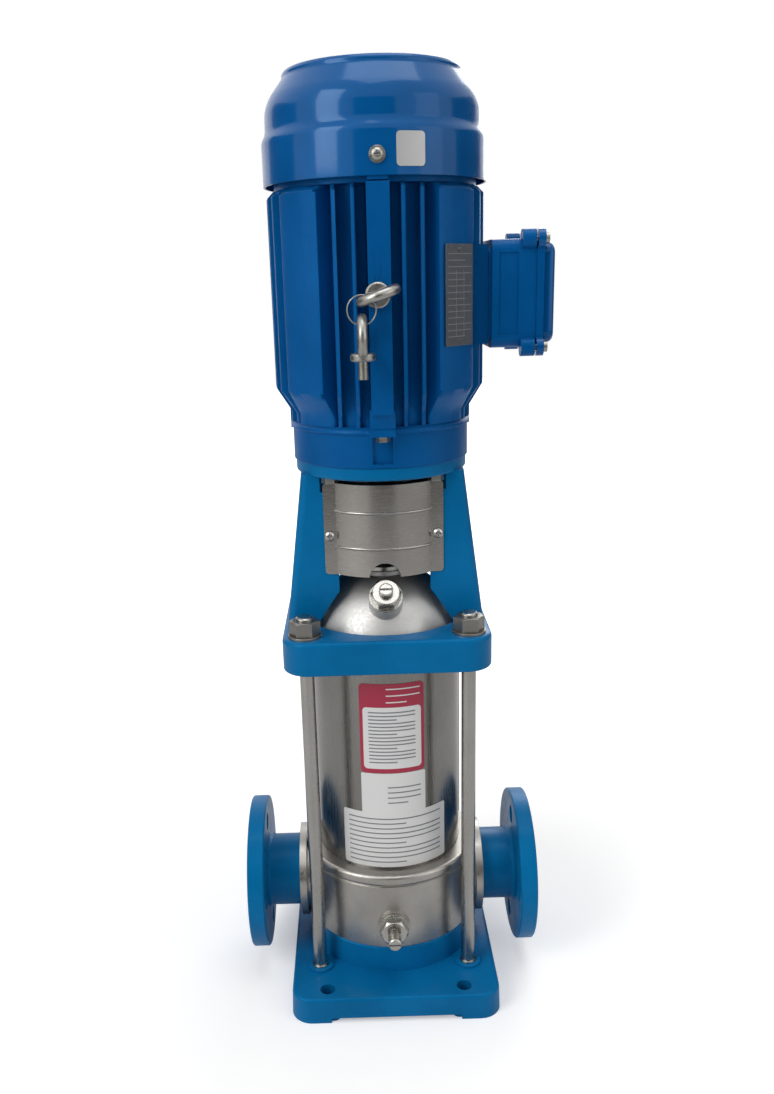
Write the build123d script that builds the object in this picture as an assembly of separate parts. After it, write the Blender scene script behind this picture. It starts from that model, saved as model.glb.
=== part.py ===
"""Vertical multistage centrifugal pump with a flange-mounted electric motor.

Millimetres, +Z up. The origin is the centre of the base plate's footprint, on the floor.
The shaft runs up the Z axis, the two pipe ports point along -X (suction) and +X (discharge),
and the front, with the priming plug and the drain plug, faces -Y.
"""
from build123d import *
from math import cos, degrees, radians, sin, sqrt
import os

# ---------------------------------------------------------------- driving dimensions
# Heights climb from the floor: each is set from the piece that it stands on.
SEAT_GAP = 0.1                # between two parts that seat on each other
RUNNING_GAP = 0.6             # between a rotating and a fixed pump part

PORT_FACE_TO_FACE = 280.0     # DN 40 in-line ports
PORT_HEIGHT = 90.0            # port axis above the floor
PORT_BORE_R = 20.0
FLANGE_R = 75.0               # DN 40, PN 16
FLANGE_THICKNESS = 16.0
FLANGE_BOLT_CIRCLE = 110.0
FLANGE_BOLT_HOLE_R = 9.0
NECK_R = 35.5

SLEEVE_R = 70.0
SLEEVE_WALL = 2.0

CASING_R = SLEEVE_R + 14.0
CASING_SPIGOT_R = SLEEVE_R + 7.0
CASING_WALL = 5.0
PARTITION_R = 50.0            # suction chamber inside, discharge ring outside
COLLAR_R = 46.0               # round the port stubs
COLLAR_X0 = CASING_R
COLLAR_X1 = COLLAR_X0 + 7.0

BASE_WIDTH = 199.0            # along the ports
BASE_DEPTH = 247.0
BASE_TOP = 25.5
BASE_CORNER_R = 20.0
BASE_WALL = 9.0
BASE_DECK = 11.0
FOOT_HOLE_SPACING_X = BASE_WIDTH - 69.0
FOOT_HOLE_SPACING_Y = BASE_DEPTH - 32.0
FOOT_HOLE_R = 7.0
FOOT_LIFT = 5.0               # the edge between two feet clears the floor by this
FOOT_SIZE = 38.0
RING_R = CASING_R + 1.0       # cast ring that holds the casing
RING_TOP = BASE_TOP + 27.3

CASING_SHOULDER_Z = PORT_HEIGHT + 28.6     # underside of the rolled rim
CASING_TOP = CASING_SHOULDER_Z + 11.8
SLEEVE_SEAT_Z = CASING_TOP - 9.4
DRAIN_Z = PORT_HEIGHT - 12.0

STAGES = 6
STAGE_PITCH = 30.0
STACK_BOTTOM = SLEEVE_SEAT_Z + 11.0
STACK_TOP = STACK_BOTTOM + STAGE_PITCH * STAGES
STACK_END_HEIGHT = 22.0       # of the discharge chamber on the last stage
CHAMBER_R = SLEEVE_R - SLEEVE_WALL - 8.5
CHAMBER_WALL = 1.5
IMPELLER_R = 48.0
IMPELLER_EYE_R = 24.0
HUB_R = 13.0
SPACER_R = 12.0
SLEEVE_TOP = STACK_TOP + 35.0

HEAD_SHOULDER_R = SLEEVE_R + 9.0
HEAD_SHOULDER_Z = SLEEVE_TOP + 5.0
DOME_R = SLEEVE_R + 3.0
DOME_HEIGHT = DOME_R          # of the dome above its base
DOME_BASE_Z = SLEEVE_TOP - 5.0
DOME_WALL = 4.0
SEAL_NECK_R = 27.0
SEAL_NECK_TOP = DOME_BASE_Z + DOME_HEIGHT - 1.0
SEAL_POCKET_R = 21.0
SEAL_POCKET_DEPTH = 24.0
SEAL_SEAT_DEPTH = 14.0
SEAL_BORE_R = 12.5
SEAL_RING_R = 16.0
SEAL_COLLAR_R = 13.0

PLUG_TILT = 43.0              # priming plug, above the horizontal
PLUG_REACH = 12.5
PLUG_SEAT_R = 15.0
PLUG_FLATS = 24.0
PLUG_HEX_HEIGHT = 9.0
PRIMING_THREAD_R = 9.5
DRAIN_THREAD_R = 8.0
SPINDLE_R = 5.0
SPINDLE_GAP = 0.3

STOOL_PLATE_SIZE = 2 * (HEAD_SHOULDER_R + 14.0)
STOOL_PLATE_BOTTOM = SLEEVE_TOP - 8.0
STOOL_PLATE_TOP = STOOL_PLATE_BOTTOM + 31.0
STOOL_CORNER_R = 24.0
MOTOR_FACE_Z = SEAL_NECK_TOP + 104.0       # the motor flange sits on the stool here
STOOL_RING_BOTTOM = MOTOR_FACE_Z - 11.0
STOOL_RING_R = 76.5
STOOL_BORE_R = 60.0
HEAD_CLEAR_R = DOME_R + 3.0
HEAD_CLEAR_TOP = DOME_BASE_Z + DOME_R - 13.0
LEG_HALF_DEPTH = 44.0         # the guards are screwed to the legs' flat faces
LEG_TOP_X = 71.5
LEG_BOTTOM_X = DOME_R + 17.5
LEG_WALL = 6.0

ROD_R = 6.5
THREAD_R = 7.8                # of the tie rods' ends, wider than the rod
ROD_OFFSET = HEAD_SHOULDER_R - 6.6         # tie rods stand on a square, at this X and Y
ROD_END_Z = 10.0
NUT_FLATS = 24.0
NUT_HEIGHT = 13.0
WASHER_R = 15.0
WASHER_THICKNESS = 2.5
NUT_BASE = STOOL_PLATE_TOP + WASHER_THICKNESS
ROD_PROUD = 3.0               # thread standing out of the nut

MOTOR_BOLT_CIRCLE = 130.0
MOTOR_SPIGOT_R = 55.0
MOTOR_BOLT_R = 4.0
BOLT_POCKET_R = 9.5

GUARD_R = STOOL_BORE_R + 1.5
GUARD_SHEET = 1.2
GUARD_BOTTOM = SEAL_NECK_TOP + 4.5
GUARD_TOP = STOOL_RING_BOTTOM - 6.0
GUARD_TAB_X = 52.8
GUARD_NOTCH_R = 13.8
GUARD_BEAD_R = 1.3
GUARD_BEAD_LOW_Z = GUARD_BOTTOM + 25.5
GUARD_BEAD_HIGH_Z = GUARD_TOP - 25.0
GUARD_SCREW_X = GUARD_TAB_X - 4.9
GUARD_SCREW_Z = GUARD_BOTTOM + 35.2
GUARD_SCREW_R = 2.5

COUPLING_R = 37.0
COUPLING_BOTTOM = SEAL_NECK_TOP + 10.0
COUPLING_TOP = MOTOR_FACE_Z - 21.0
COUPLING_GAP = 3.0
COUPLING_SCREW_R = 3.0
COUPLING_SCREW_Z = (COUPLING_BOTTOM + 10.0, COUPLING_TOP - 11.0)
COUPLING_SCREW_X = 27.0
SHAFT_R = 8.0                 # pump shaft
PUMP_SHAFT_TOP = COUPLING_BOTTOM + 33.0
PUMP_SHAFT_BOTTOM = PORT_HEIGHT - 30.0
COUPLING_PIN_Z = PUMP_SHAFT_TOP - 10.0
COUPLING_PIN_R = 2.5

MOTOR_SHAFT_R = 14.0
MOTOR_SHAFT_BOTTOM = PUMP_SHAFT_TOP + 3.5
BEARING_BORE_R = MOTOR_SHAFT_R + 1.0
BEARING_OUTER_R = BEARING_BORE_R + 16.0
BEARING_RING = 4.0            # thickness of each bearing ring
BEARING_WIDTH = 16.0
BALLS = 9
BALL_R = 4.7
ROTOR_SEAT_R = BEARING_BORE_R + 4.0
SHAFT_CLEAR_R = BEARING_BORE_R + 3.5

FRAME_LENGTH = 188.0
FRAME_BOTTOM = MOTOR_FACE_Z + 35.0
FRAME_TOP = FRAME_BOTTOM + FRAME_LENGTH
FRAME_BORE_R = 66.0
FRAME_CORE_R = FRAME_BORE_R + 9.0
FIN_TIP_R = 91.5
FIN_THICKNESS = 3.4
FIN_PITCH = 15.0
FACET_DISTANCE = 91.2
FACET_WIDTH = 41.0
RIB_WIDTH = 18.0
RIB_FACE_Y = FIN_TIP_R + 2.0
SHIELD_R = 78.0
SHIELD_RIM_R = 79.8
SHIELD_RIM_Z = FRAME_BOTTOM - 5.0
EAR_HALF = 10.5
EAR_SCREW_Y = 83.0
EAR_SCREW_R = 3.0
LOWER_BEARING_Z = MOTOR_FACE_Z + 16.0
UPPER_BEARING_Z = FRAME_TOP + 2.0

CORE_BOTTOM = FRAME_BOTTOM + 37.0
CORE_TOP = FRAME_TOP - 31.0
STATOR_BORE_R = 44.0
ROTOR_GAP = 0.5
WINDING_OVERHANG = 18.0

COWL_R = FIN_TIP_R + 2.0
COWL_NECK_R = COWL_R - 3.5
COWL_BOTTOM = FRAME_TOP + 4.0
COWL_STEP_Z = COWL_BOTTOM + 34.0
COWL_STEP_RISE = 6.0
COWL_SHOULDER_Z = COWL_STEP_Z + 32.0
COWL_RIM_R = 74.0
COWL_TOP = COWL_SHOULDER_Z + 21.0
COWL_SHEET = 1.6
COWL_SCREW_Z = COWL_BOTTOM + 14.5

FAN_BORE_R = 12.0
FAN_BOTTOM = COWL_BOTTOM + 23.0
FAN_TOP = FAN_BOTTOM + 30.0
FAN_R = 74.0

EYE_X = -2.0                  # lifting eye
EYE_Z = FRAME_BOTTOM + 105.0
EYE_HEIGHT = 36.0             # from its seat to the top of its ring
EYE_HANG = 3.0                # the wire ring hangs this far outside the eye's middle
EYE_RING_R = 14.0
EYE_BAR_R = 4.0
EYE_CENTRE = EYE_HEIGHT - EYE_RING_R - EYE_BAR_R
EYE_TURN = 18.0               # the screwed-in eye stands turned by this
EYE_COLLAR_R = 10.0
EYE_COLLAR_H = 6.0
EYE_SHANK_R = 4.0
WIRE_RING_R = 11.15
WIRE_R = 0.6
WIRE_GAP = 0.45

BOX_NECK_X = FIN_TIP_R + 0.2
BOX_X = BOX_NECK_X + 2.3
BOX_LID_X = BOX_X + 37.0
BOX_LID_END_X = BOX_LID_X + 16.0
BOX_Z = FRAME_BOTTOM + 102.0
BOX_HALF = 43.5
BOX_WALL = 4.0
GLAND_R = 9.5

NAMEPLATE_WIDTH = 34.0
NAMEPLATE_LENGTH = 79.0
NAMEPLATE_Z = FRAME_BOTTOM + 102.5

os.makedirs("parts", exist_ok=True)


# ---------------------------------------------------------------- small helpers
def disc(radius, z0, z1, x=0.0, y=0.0):
    """An upright cylinder between two heights."""
    return Pos(x, y, z0) * Cylinder(radius, z1 - z0, align=(Align.CENTER, Align.CENTER, Align.MIN))


def tube(outer, inner, z0, z1, x=0.0, y=0.0):
    """An upright tube between two heights."""
    return disc(outer, z0, z1, x, y) - disc(inner, z0 - 1, z1 + 1, x, y)


def block(x0, x1, y0, y1, z0, z1):
    """A box between two corners."""
    return Pos((x0 + x1) / 2, (y0 + y1) / 2, (z0 + z1) / 2) * Box(x1 - x0, y1 - y0, z1 - z0)


def turned(*edges):
    """A closed outline of (radius, height) edges, turned about the Z axis."""
    return revolve(make_face(Plane.XZ * Curve() + [Plane.XZ * edge for edge in edges]), Axis.Z)


def turned_outline(points):
    """A closed outline of (radius, height) corners, turned about the Z axis."""
    return revolve(make_face(Plane.XZ * Polyline(*points, close=True)), Axis.Z)


def along_x(shape):
    """Lays an upright shape down, so that its +Z points along +X."""
    return Rot(0, 90, 0) * shape


def along_front(shape):
    """Lays an upright shape down, so that its +Z points along -Y."""
    return Rot(90, 0, 0) * shape


def hexagon(flats, z0, z1):
    """A hexagonal prism with two corners on the X axis."""
    profile = RegularPolygon(flats / 2, 6, major_radius=False)
    return extrude(Pos(0, 0, z0) * profile, z1 - z0)


def corners(x, y):
    """The four (x, y) corners of a centred rectangle."""
    return [(sx * x, sy * y) for sx in (-1, 1) for sy in (-1, 1)]


def joined(shapes):
    """All the shapes fused into one."""
    shapes = list(shapes)
    return shapes[0].fuse(*shapes[1:]) if len(shapes) > 1 else shapes[0]


def group(shapes):
    """Separate solids that share one node."""
    return Compound(children=[solid for shape in shapes for solid in shape.solids()])


def largest(shape):
    """The largest solid of a cut that left crumbs."""
    return max(shape.solids(), key=lambda solid: solid.volume)


def dome_arc(radius, height, cut_r):
    """Half an ellipse's outline from its foot up to where it reaches a given radius."""
    top = DOME_BASE_Z + height * sqrt(1 - (cut_r / radius) ** 2)
    mid_r = radius * 0.82
    mid = DOME_BASE_Z + height * sqrt(1 - (mid_r / radius) ** 2)
    return ThreePointArc((radius, DOME_BASE_Z), (mid_r, mid), (cut_r, top)), top


def dome_solid(radius, height, foot_z, cut_r, top_z):
    """A domed solid of revolution: a foot, the arc, and a neck up to a height."""
    arc, arc_top = dome_arc(radius, height, cut_r)
    foot = Polyline((0, foot_z), (radius, foot_z), (radius, DOME_BASE_Z))
    neck = Polyline((cut_r, arc_top), (cut_r, top_z), (0, top_z), (0, foot_z))
    face = make_face(Plane.XZ * (foot + arc + neck))
    return revolve(face, Axis.Z)


# ---------------------------------------------------------------- base and ports
def make_base_plate():
    outline = RectangleRounded(BASE_WIDTH, BASE_DEPTH, BASE_CORNER_R)
    plate = extrude(outline, BASE_TOP, taper=2)
    plate = fillet(plate.faces().sort_by(Axis.Z)[-1].edges(), 3)
    inner = RectangleRounded(BASE_WIDTH - 2 * BASE_WALL, BASE_DEPTH - 2 * BASE_WALL,
                             BASE_CORNER_R - BASE_WALL + 2)
    plate -= extrude(inner, BASE_TOP - BASE_DECK)
    half_x, half_y = BASE_WIDTH / 2, BASE_DEPTH / 2
    plate -= block(-half_x + FOOT_SIZE, half_x - FOOT_SIZE, -half_y - 1, half_y + 1, -1, FOOT_LIFT)
    plate -= block(-half_x - 1, half_x + 1, -half_y + FOOT_SIZE, half_y - FOOT_SIZE, -1, FOOT_LIFT)
    for x, y in corners(FOOT_HOLE_SPACING_X / 2, FOOT_HOLE_SPACING_Y / 2):
        plate += disc(FOOT_HOLE_R + 8, 0, BASE_TOP - 1, x, y) & block(
            -half_x + 3, half_x - 3, -half_y + 3, half_y - 3, 0, BASE_TOP)
    for x, y in corners(ROD_OFFSET, ROD_OFFSET):
        plate += disc(THREAD_R + 4.5, FOOT_LIFT, BASE_TOP + 2.5, x, y)
    plate += disc(RING_R, BASE_TOP - BASE_DECK, RING_TOP)
    plate = fillet(plate.edges().filter_by(GeomType.CIRCLE).group_by(Axis.Z)[-1], 1.5)
    plate -= disc(CASING_SPIGOT_R + SEAT_GAP, BASE_TOP, RING_TOP + 1)
    plate -= disc(CASING_SPIGOT_R - 12, BASE_TOP - BASE_DECK - 1, BASE_TOP + 1)
    for side in (-1, 1):
        plate -= port_at(side, along_x(disc(COLLAR_R + SEAT_GAP, 60, 110)))
    for x, y in corners(FOOT_HOLE_SPACING_X / 2, FOOT_HOLE_SPACING_Y / 2):
        plate -= disc(FOOT_HOLE_R, -1, BASE_TOP + 1, x, y)
    for x, y in corners(ROD_OFFSET, ROD_OFFSET):
        plate -= disc(THREAD_R, ROD_END_Z, BASE_TOP + 5, x, y)
    return largest(plate)


def port_at(side, shape):
    """Puts a shape made along +X from the pump's axis on the suction (-1) or discharge (+1) side."""
    return Pos(0, 0, PORT_HEIGHT) * (Rot(0, 0, 180) * shape if side < 0 else shape)


def make_base_casing():
    body = disc(CASING_SPIGOT_R, BASE_TOP, RING_TOP + 1) + disc(CASING_R, RING_TOP, CASING_SHOULDER_Z)
    body += disc(CASING_R - 1.2, CASING_SHOULDER_Z - 1, CASING_SHOULDER_Z + 2)
    rim = disc(CASING_R + 0.8, CASING_SHOULDER_Z + 1, CASING_TOP)
    body += fillet(rim.edges().filter_by(GeomType.CIRCLE), 3.5)
    stub = along_x(disc(NECK_R + 3, 60, COLLAR_X0 + 1) + disc(COLLAR_R, COLLAR_X0, COLLAR_X1))
    for side in (-1, 1):
        body += port_at(side, stub)
    body += Pos(0, 0, DRAIN_Z) * along_front(disc(15.5, CASING_R - 8, CASING_R + 3))
    # seat for the sleeve, then the discharge ring and the suction chamber
    body -= disc(SLEEVE_R + SEAT_GAP, SLEEVE_SEAT_Z, CASING_TOP + 1)
    floor_z = RING_TOP - 16
    ring_outer = CASING_SPIGOT_R - CASING_WALL
    body -= tube(SLEEVE_R - SLEEVE_WALL - 1, PARTITION_R + 3.5, floor_z, SLEEVE_SEAT_Z + 1)
    body -= tube(ring_outer, PARTITION_R + 3.5, floor_z, SLEEVE_SEAT_Z - 10)
    body -= disc(PARTITION_R, floor_z, SLEEVE_SEAT_Z + 1)
    # the suction pipe crosses the discharge ring
    body += port_at(-1, along_x(disc(PORT_BORE_R + 5, PARTITION_R - 2, COLLAR_X0)))
    for side in (-1, 1):
        body -= port_at(side, along_x(disc(PORT_BORE_R + 1.5, 30 if side < 0 else 60, COLLAR_X1 + 1)))
    body -= disc(PARTITION_R, floor_z, SLEEVE_SEAT_Z + 1)
    body -= Pos(0, 0, DRAIN_Z) * along_front(disc(DRAIN_THREAD_R, CASING_R - 16, CASING_R + 4))
    return largest(body)


def make_port_flange(side):
    inner_face = PORT_FACE_TO_FACE / 2 - FLANGE_THICKNESS
    face = PORT_FACE_TO_FACE / 2
    plate = disc(FLANGE_R, inner_face, face)
    plate = chamfer(plate.edges().filter_by(GeomType.CIRCLE), 1.0)
    flange = plate + disc(NECK_R, COLLAR_X1, inner_face + 1)
    root = [edge for edge in flange.edges().filter_by(GeomType.CIRCLE)
            if abs(edge.radius - NECK_R) < 0.01 and abs(edge.center().Z - inner_face) < 0.01]
    flange = fillet(root, 4)
    flange -= disc(PORT_BORE_R, COLLAR_X1 - 1, face + 1)
    for turn in range(4):
        angle = radians(90 * turn)
        radius = FLANGE_BOLT_CIRCLE / 2
        flange -= disc(FLANGE_BOLT_HOLE_R, inner_face - 1, face + 1, radius * cos(angle), radius * sin(angle))
    return port_at(side, along_x(flange))


# ---------------------------------------------------------------- drain and priming plugs


def plug(flats, collar_r, hex_height, thread_depth, thread_r, bore_r):
    """A hexagon plug with a collar, standing on z = 0, bored for its spindle."""
    body = disc(thread_r, -thread_depth, 1) + disc(collar_r, 0, 3)
    head = hexagon(flats, 2.5, 3 + hex_height)
    head &= turned_outline([(0, 0), (flats * 0.58, 0), (flats * 0.58, 1 + hex_height),
                            (flats * 0.5 - 0.5, 3 + hex_height), (0, 3 + hex_height)])
    body += head
    return body - disc(bore_r, -thread_depth - 1, 4 + hex_height)


def spindle(length_below, proud, cap_r, cap_height):
    """A screwed vent spindle: a stem through the plug and a round end standing out of it."""
    stem = disc(SPINDLE_R, -length_below, proud)
    end = disc(cap_r, proud - cap_height, proud)
    end = chamfer(end.edges().filter_by(GeomType.CIRCLE).group_by(Axis.Z)[-1], 1.0)
    slot = block(-cap_r, cap_r, -0.8, 0.8, proud - 1.6, proud + 1)
    return stem + end - slot


def at_drain(shape):
    return Pos(0, -CASING_R - 3 - SEAT_GAP, DRAIN_Z) * along_front(shape)


def at_priming(shape):
    """On the dome's front, square to the dome's surface."""
    tilt = radians(PLUG_TILT)
    reach = DOME_R + PLUG_REACH
    seat = Pos(0, -reach * cos(tilt), DOME_BASE_Z + reach * sin(tilt))
    return seat * Rot(90 - PLUG_TILT, 0, 0) * shape


def make_drain_plug():
    return at_drain(plug(PLUG_FLATS, 14.5, PLUG_HEX_HEIGHT, 10, DRAIN_THREAD_R - SEAT_GAP,
                         SPINDLE_R + SPINDLE_GAP))


def make_drain_spindle():
    return at_drain(spindle(8, 3 + PLUG_HEX_HEIGHT + 17, SPINDLE_R + 1.3, 13))


def make_priming_plug():
    return at_priming(plug(PLUG_FLATS, 14.8, PLUG_HEX_HEIGHT, 9, PRIMING_THREAD_R - SEAT_GAP,
                           SPINDLE_R + SPINDLE_GAP))


def make_vent_spindle():
    return at_priming(spindle(8, 3 + PLUG_HEX_HEIGHT + 5.5, SPINDLE_R + 1.2, 4.5))


# ---------------------------------------------------------------- pump head, sleeve and tie rods
def make_pump_head():
    head = dome_solid(DOME_R, DOME_HEIGHT, HEAD_SHOULDER_Z - 11, SEAL_NECK_R, SEAL_NECK_TOP)
    head += disc(HEAD_SHOULDER_R, HEAD_SHOULDER_Z - 11, HEAD_SHOULDER_Z)
    head += at_priming(disc(PLUG_SEAT_R, -16, -SEAT_GAP))
    head -= dome_solid(DOME_R - DOME_WALL, DOME_HEIGHT - DOME_WALL, HEAD_SHOULDER_Z - 12,
                       SEAL_NECK_R - 1, SEAL_NECK_TOP - 18)
    head -= disc(SEAL_POCKET_R, SEAL_NECK_TOP - SEAL_POCKET_DEPTH, SEAL_NECK_TOP + 1)
    head -= disc(SLEEVE_R + SEAT_GAP, HEAD_SHOULDER_Z - 12, SLEEVE_TOP)
    head -= at_priming(disc(PRIMING_THREAD_R, -30, 1))
    return largest(head)


def make_outer_sleeve():
    return tube(SLEEVE_R, SLEEVE_R - SLEEVE_WALL, SLEEVE_SEAT_Z, SLEEVE_TOP)


def make_sleeve_seals():
    """Two square-section rings inside the sleeve's ends."""
    radius = SLEEVE_R - SLEEVE_WALL - SEAT_GAP
    return group([tube(radius, radius - 3, SLEEVE_SEAT_Z, SLEEVE_SEAT_Z + 4),
                  tube(radius, radius - 3, SLEEVE_TOP - 4, SLEEVE_TOP)])


def make_tie_rods():
    top = NUT_BASE + NUT_HEIGHT + ROD_PROUD
    rod = disc(THREAD_R, ROD_END_Z, top)
    rod = chamfer(rod.edges().filter_by(GeomType.CIRCLE), 1.2)
    rod -= tube(THREAD_R + 2, ROD_R, BASE_TOP + 4, STOOL_PLATE_BOTTOM - 4)
    return group([Pos(x, y, 0) * rod for x, y in corners(ROD_OFFSET, ROD_OFFSET)])


def make_tie_rod_washers():
    washer = tube(WASHER_R, THREAD_R + 0.2, STOOL_PLATE_TOP, NUT_BASE)
    return group([Pos(x, y, 0) * washer for x, y in corners(ROD_OFFSET, ROD_OFFSET)])


def make_tie_rod_nuts():
    corner_r = NUT_FLATS / sqrt(3)
    nut = hexagon(NUT_FLATS, NUT_BASE, NUT_BASE + NUT_HEIGHT) & turned_outline(
        [(0, NUT_BASE), (corner_r + 1, NUT_BASE), (corner_r + 1, NUT_BASE + NUT_HEIGHT - 2.2),
         (NUT_FLATS / 2 - 0.6, NUT_BASE + NUT_HEIGHT), (0, NUT_BASE + NUT_HEIGHT)])
    nut -= disc(THREAD_R, NUT_BASE - 1, NUT_BASE + NUT_HEIGHT + 1)
    return group([Pos(x, y, 0) * nut for x, y in corners(ROD_OFFSET, ROD_OFFSET)])


# ---------------------------------------------------------------- motor stool and guards
def leg_slab(inner, extra, half_depth, z0, z1):
    """A slab whose outer face leans in from the foot to the top of a leg."""
    def section(z, outer):
        return Pos((inner + outer) / 2, 0, z) * Rectangle(outer - inner, 2 * half_depth)

    return loft([section(z0, LEG_BOTTOM_X + extra), section(z1, LEG_TOP_X + extra)])


def make_leg(side):
    """One leg: flat front and rear faces, hollow from the outside."""
    z0, z1 = STOOL_PLATE_TOP - 8, STOOL_RING_BOTTOM + 2
    leg = leg_slab(30, 0, LEG_HALF_DEPTH, z0, z1)
    uprights = [edge for edge in leg.edges() if edge.center().X > 60 and abs(edge.center().Z - (z0 + z1) / 2) < 20]
    leg = fillet(uprights, 7)
    leg -= disc(STOOL_BORE_R, z0 - 1, z1 + 1)
    hollow = leg_slab(STOOL_BORE_R + LEG_WALL, 20, LEG_HALF_DEPTH - 11, z0 + 16, z1 - 14)
    leg -= hollow
    return largest(leg) if side > 0 else Rot(0, 0, 180) * largest(leg)


def make_motor_stool():
    """Square foot on the pump head, two legs and a round top that carries the motor."""
    outline = RectangleRounded(STOOL_PLATE_SIZE, STOOL_PLATE_SIZE, STOOL_CORNER_R)
    plate = extrude(Pos(0, 0, STOOL_PLATE_BOTTOM) * outline, STOOL_PLATE_TOP - STOOL_PLATE_BOTTOM)
    plate = fillet(plate.faces().sort_by(Axis.Z)[-1].edges(), 4)
    plate = fillet(plate.faces().sort_by(Axis.Z)[0].edges(), 2)
    ring = fillet(disc(STOOL_RING_R, STOOL_RING_BOTTOM, MOTOR_FACE_Z).edges()
                  .filter_by(GeomType.CIRCLE).group_by(Axis.Z)[0], 3)
    stool = plate + ring + make_leg(1) + make_leg(-1)
    stool -= disc(STOOL_BORE_R, STOOL_PLATE_TOP - 10, STOOL_RING_BOTTOM)
    stool -= turned_outline([(0, HEAD_SHOULDER_Z - 1), (HEAD_CLEAR_R, HEAD_SHOULDER_Z - 1),
                             (HEAD_CLEAR_R, STOOL_PLATE_TOP), (STOOL_BORE_R, HEAD_CLEAR_TOP),
                             (0, HEAD_CLEAR_TOP)])
    stool -= disc(HEAD_SHOULDER_R + SEAT_GAP, STOOL_PLATE_BOTTOM - 1, HEAD_SHOULDER_Z)
    stool -= disc(MOTOR_SPIGOT_R - 8, STOOL_RING_BOTTOM - 1, MOTOR_FACE_Z + 1)
    stool -= disc(MOTOR_SPIGOT_R + SEAT_GAP, MOTOR_FACE_Z - 4, MOTOR_FACE_Z + 1)
    for x, y in corners(ROD_OFFSET, ROD_OFFSET):
        stool -= disc(THREAD_R + 0.5, STOOL_PLATE_BOTTOM - 1, STOOL_PLATE_TOP + 1, x, y)
    bolt_xy = MOTOR_BOLT_CIRCLE / 2 * cos(radians(45))
    for x, y in corners(bolt_xy, bolt_xy):
        stool -= disc(MOTOR_BOLT_R + 0.5, STOOL_RING_BOTTOM - 1, MOTOR_FACE_Z + 1, x, y)
        stool -= disc(BOLT_POCKET_R, STOOL_RING_BOTTOM - 14, STOOL_RING_BOTTOM, x, y)
    for x in (-GUARD_SCREW_X, GUARD_SCREW_X):
        hole = Pos(x, 0, GUARD_SCREW_Z) * along_front(disc(
            GUARD_SCREW_R, LEG_HALF_DEPTH - 12, LEG_HALF_DEPTH + 1))
        stool -= hole
        stool -= Rot(0, 0, 180) * hole
    return largest(stool)


def make_guard(front):
    """A rounded sheet with two flat tabs, two rolled beads and a notch for the priming plug."""
    inner = GUARD_R - GUARD_SHEET
    shell = disc(GUARD_R, GUARD_BOTTOM, GUARD_TOP)
    for z in (GUARD_BEAD_LOW_Z, GUARD_BEAD_HIGH_Z):
        shell += Pos(0, 0, z) * Torus(GUARD_R - 0.3, GUARD_BEAD_R)
    shell -= disc(inner, GUARD_BOTTOM - 1, GUARD_TOP + 1)
    tab_y = -LEG_HALF_DEPTH
    guard = shell & block(-GUARD_R - 2, GUARD_R + 2, -GUARD_R - 3, tab_y, GUARD_BOTTOM - 1, GUARD_TOP + 1)
    edge_x = sqrt(inner ** 2 - tab_y ** 2) - 0.2
    for side in (-1, 1):
        x0, x1 = sorted((side * edge_x, side * GUARD_TAB_X))
        tab = block(x0, x1, tab_y - GUARD_SHEET, tab_y, GUARD_BOTTOM, GUARD_TOP)
        rounded = [edge for edge in tab.edges().filter_by(Axis.Y)
                   if abs(abs(edge.center().X) - GUARD_TAB_X) < 0.01]
        guard += fillet(rounded, 3.5)
        guard -= Pos(side * GUARD_SCREW_X, tab_y + 1, GUARD_SCREW_Z) * along_front(
            disc(GUARD_SCREW_R + 0.3, 0, 4))
    guard -= Pos(0, 0, GUARD_BOTTOM - 0.7) * along_front(disc(GUARD_NOTCH_R, 0, GUARD_R + 5))
    return largest(guard) if front else Rot(0, 0, 180) * largest(guard)


def make_guard_screws():
    """Pan-head screws through the tabs into the stool's ledges."""
    shank = disc(GUARD_SCREW_R - 0.05, -9, 0.5)
    head = turned_outline([(0, 0), (4.6, 0), (4.3, 1.8), (2.6, 2.9), (0, 3.1)])
    socket = block(-2.6, 2.6, -0.5, 0.5, 1.6, 4) + block(-0.5, 0.5, -2.6, 2.6, 1.6, 4)
    screw = along_front(shank + head - socket)
    places = []
    for side in (-1, 1):
        front = Pos(side * GUARD_SCREW_X, -LEG_HALF_DEPTH - GUARD_SHEET, GUARD_SCREW_Z) * screw
        places += [front, Rot(0, 0, 180) * front]
    return group(places)


def make_motor_flange_bolts():
    """Hexagon bolts from under the stool's ring, up into the motor flange."""
    bolt = disc(MOTOR_BOLT_R, STOOL_RING_BOTTOM - 1, MOTOR_FACE_Z + 12)
    bolt += hexagon(13, STOOL_RING_BOTTOM - 5.3, STOOL_RING_BOTTOM)
    reach = MOTOR_BOLT_CIRCLE / 2 * cos(radians(45))
    return group([Pos(x, y, 0) * bolt for x, y in corners(reach, reach)])


# ---------------------------------------------------------------- pump stages, shaft and seal
def curved_blade(inner_r, outer_r, sweep, thickness, z0, z1):
    """One backward-curved vane as a band between two arcs."""
    def point(radius, angle):
        return (radius * cos(radians(angle)), radius * sin(radians(angle)))

    mid_r = (inner_r + outer_r) / 2
    half = degrees(thickness / 2 / mid_r)
    front = ThreePointArc(point(inner_r, half), point(mid_r, -sweep * 0.35 + half),
                          point(outer_r, -sweep + half))
    back = ThreePointArc(point(outer_r, -sweep - half), point(mid_r, -sweep * 0.35 - half),
                         point(inner_r, -half))
    tip = Line(front @ 1, back @ 0)
    root = Line(back @ 1, front @ 0)
    return extrude(Pos(0, 0, z0) * make_face(front + tip + back + root), z1 - z0)


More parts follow.
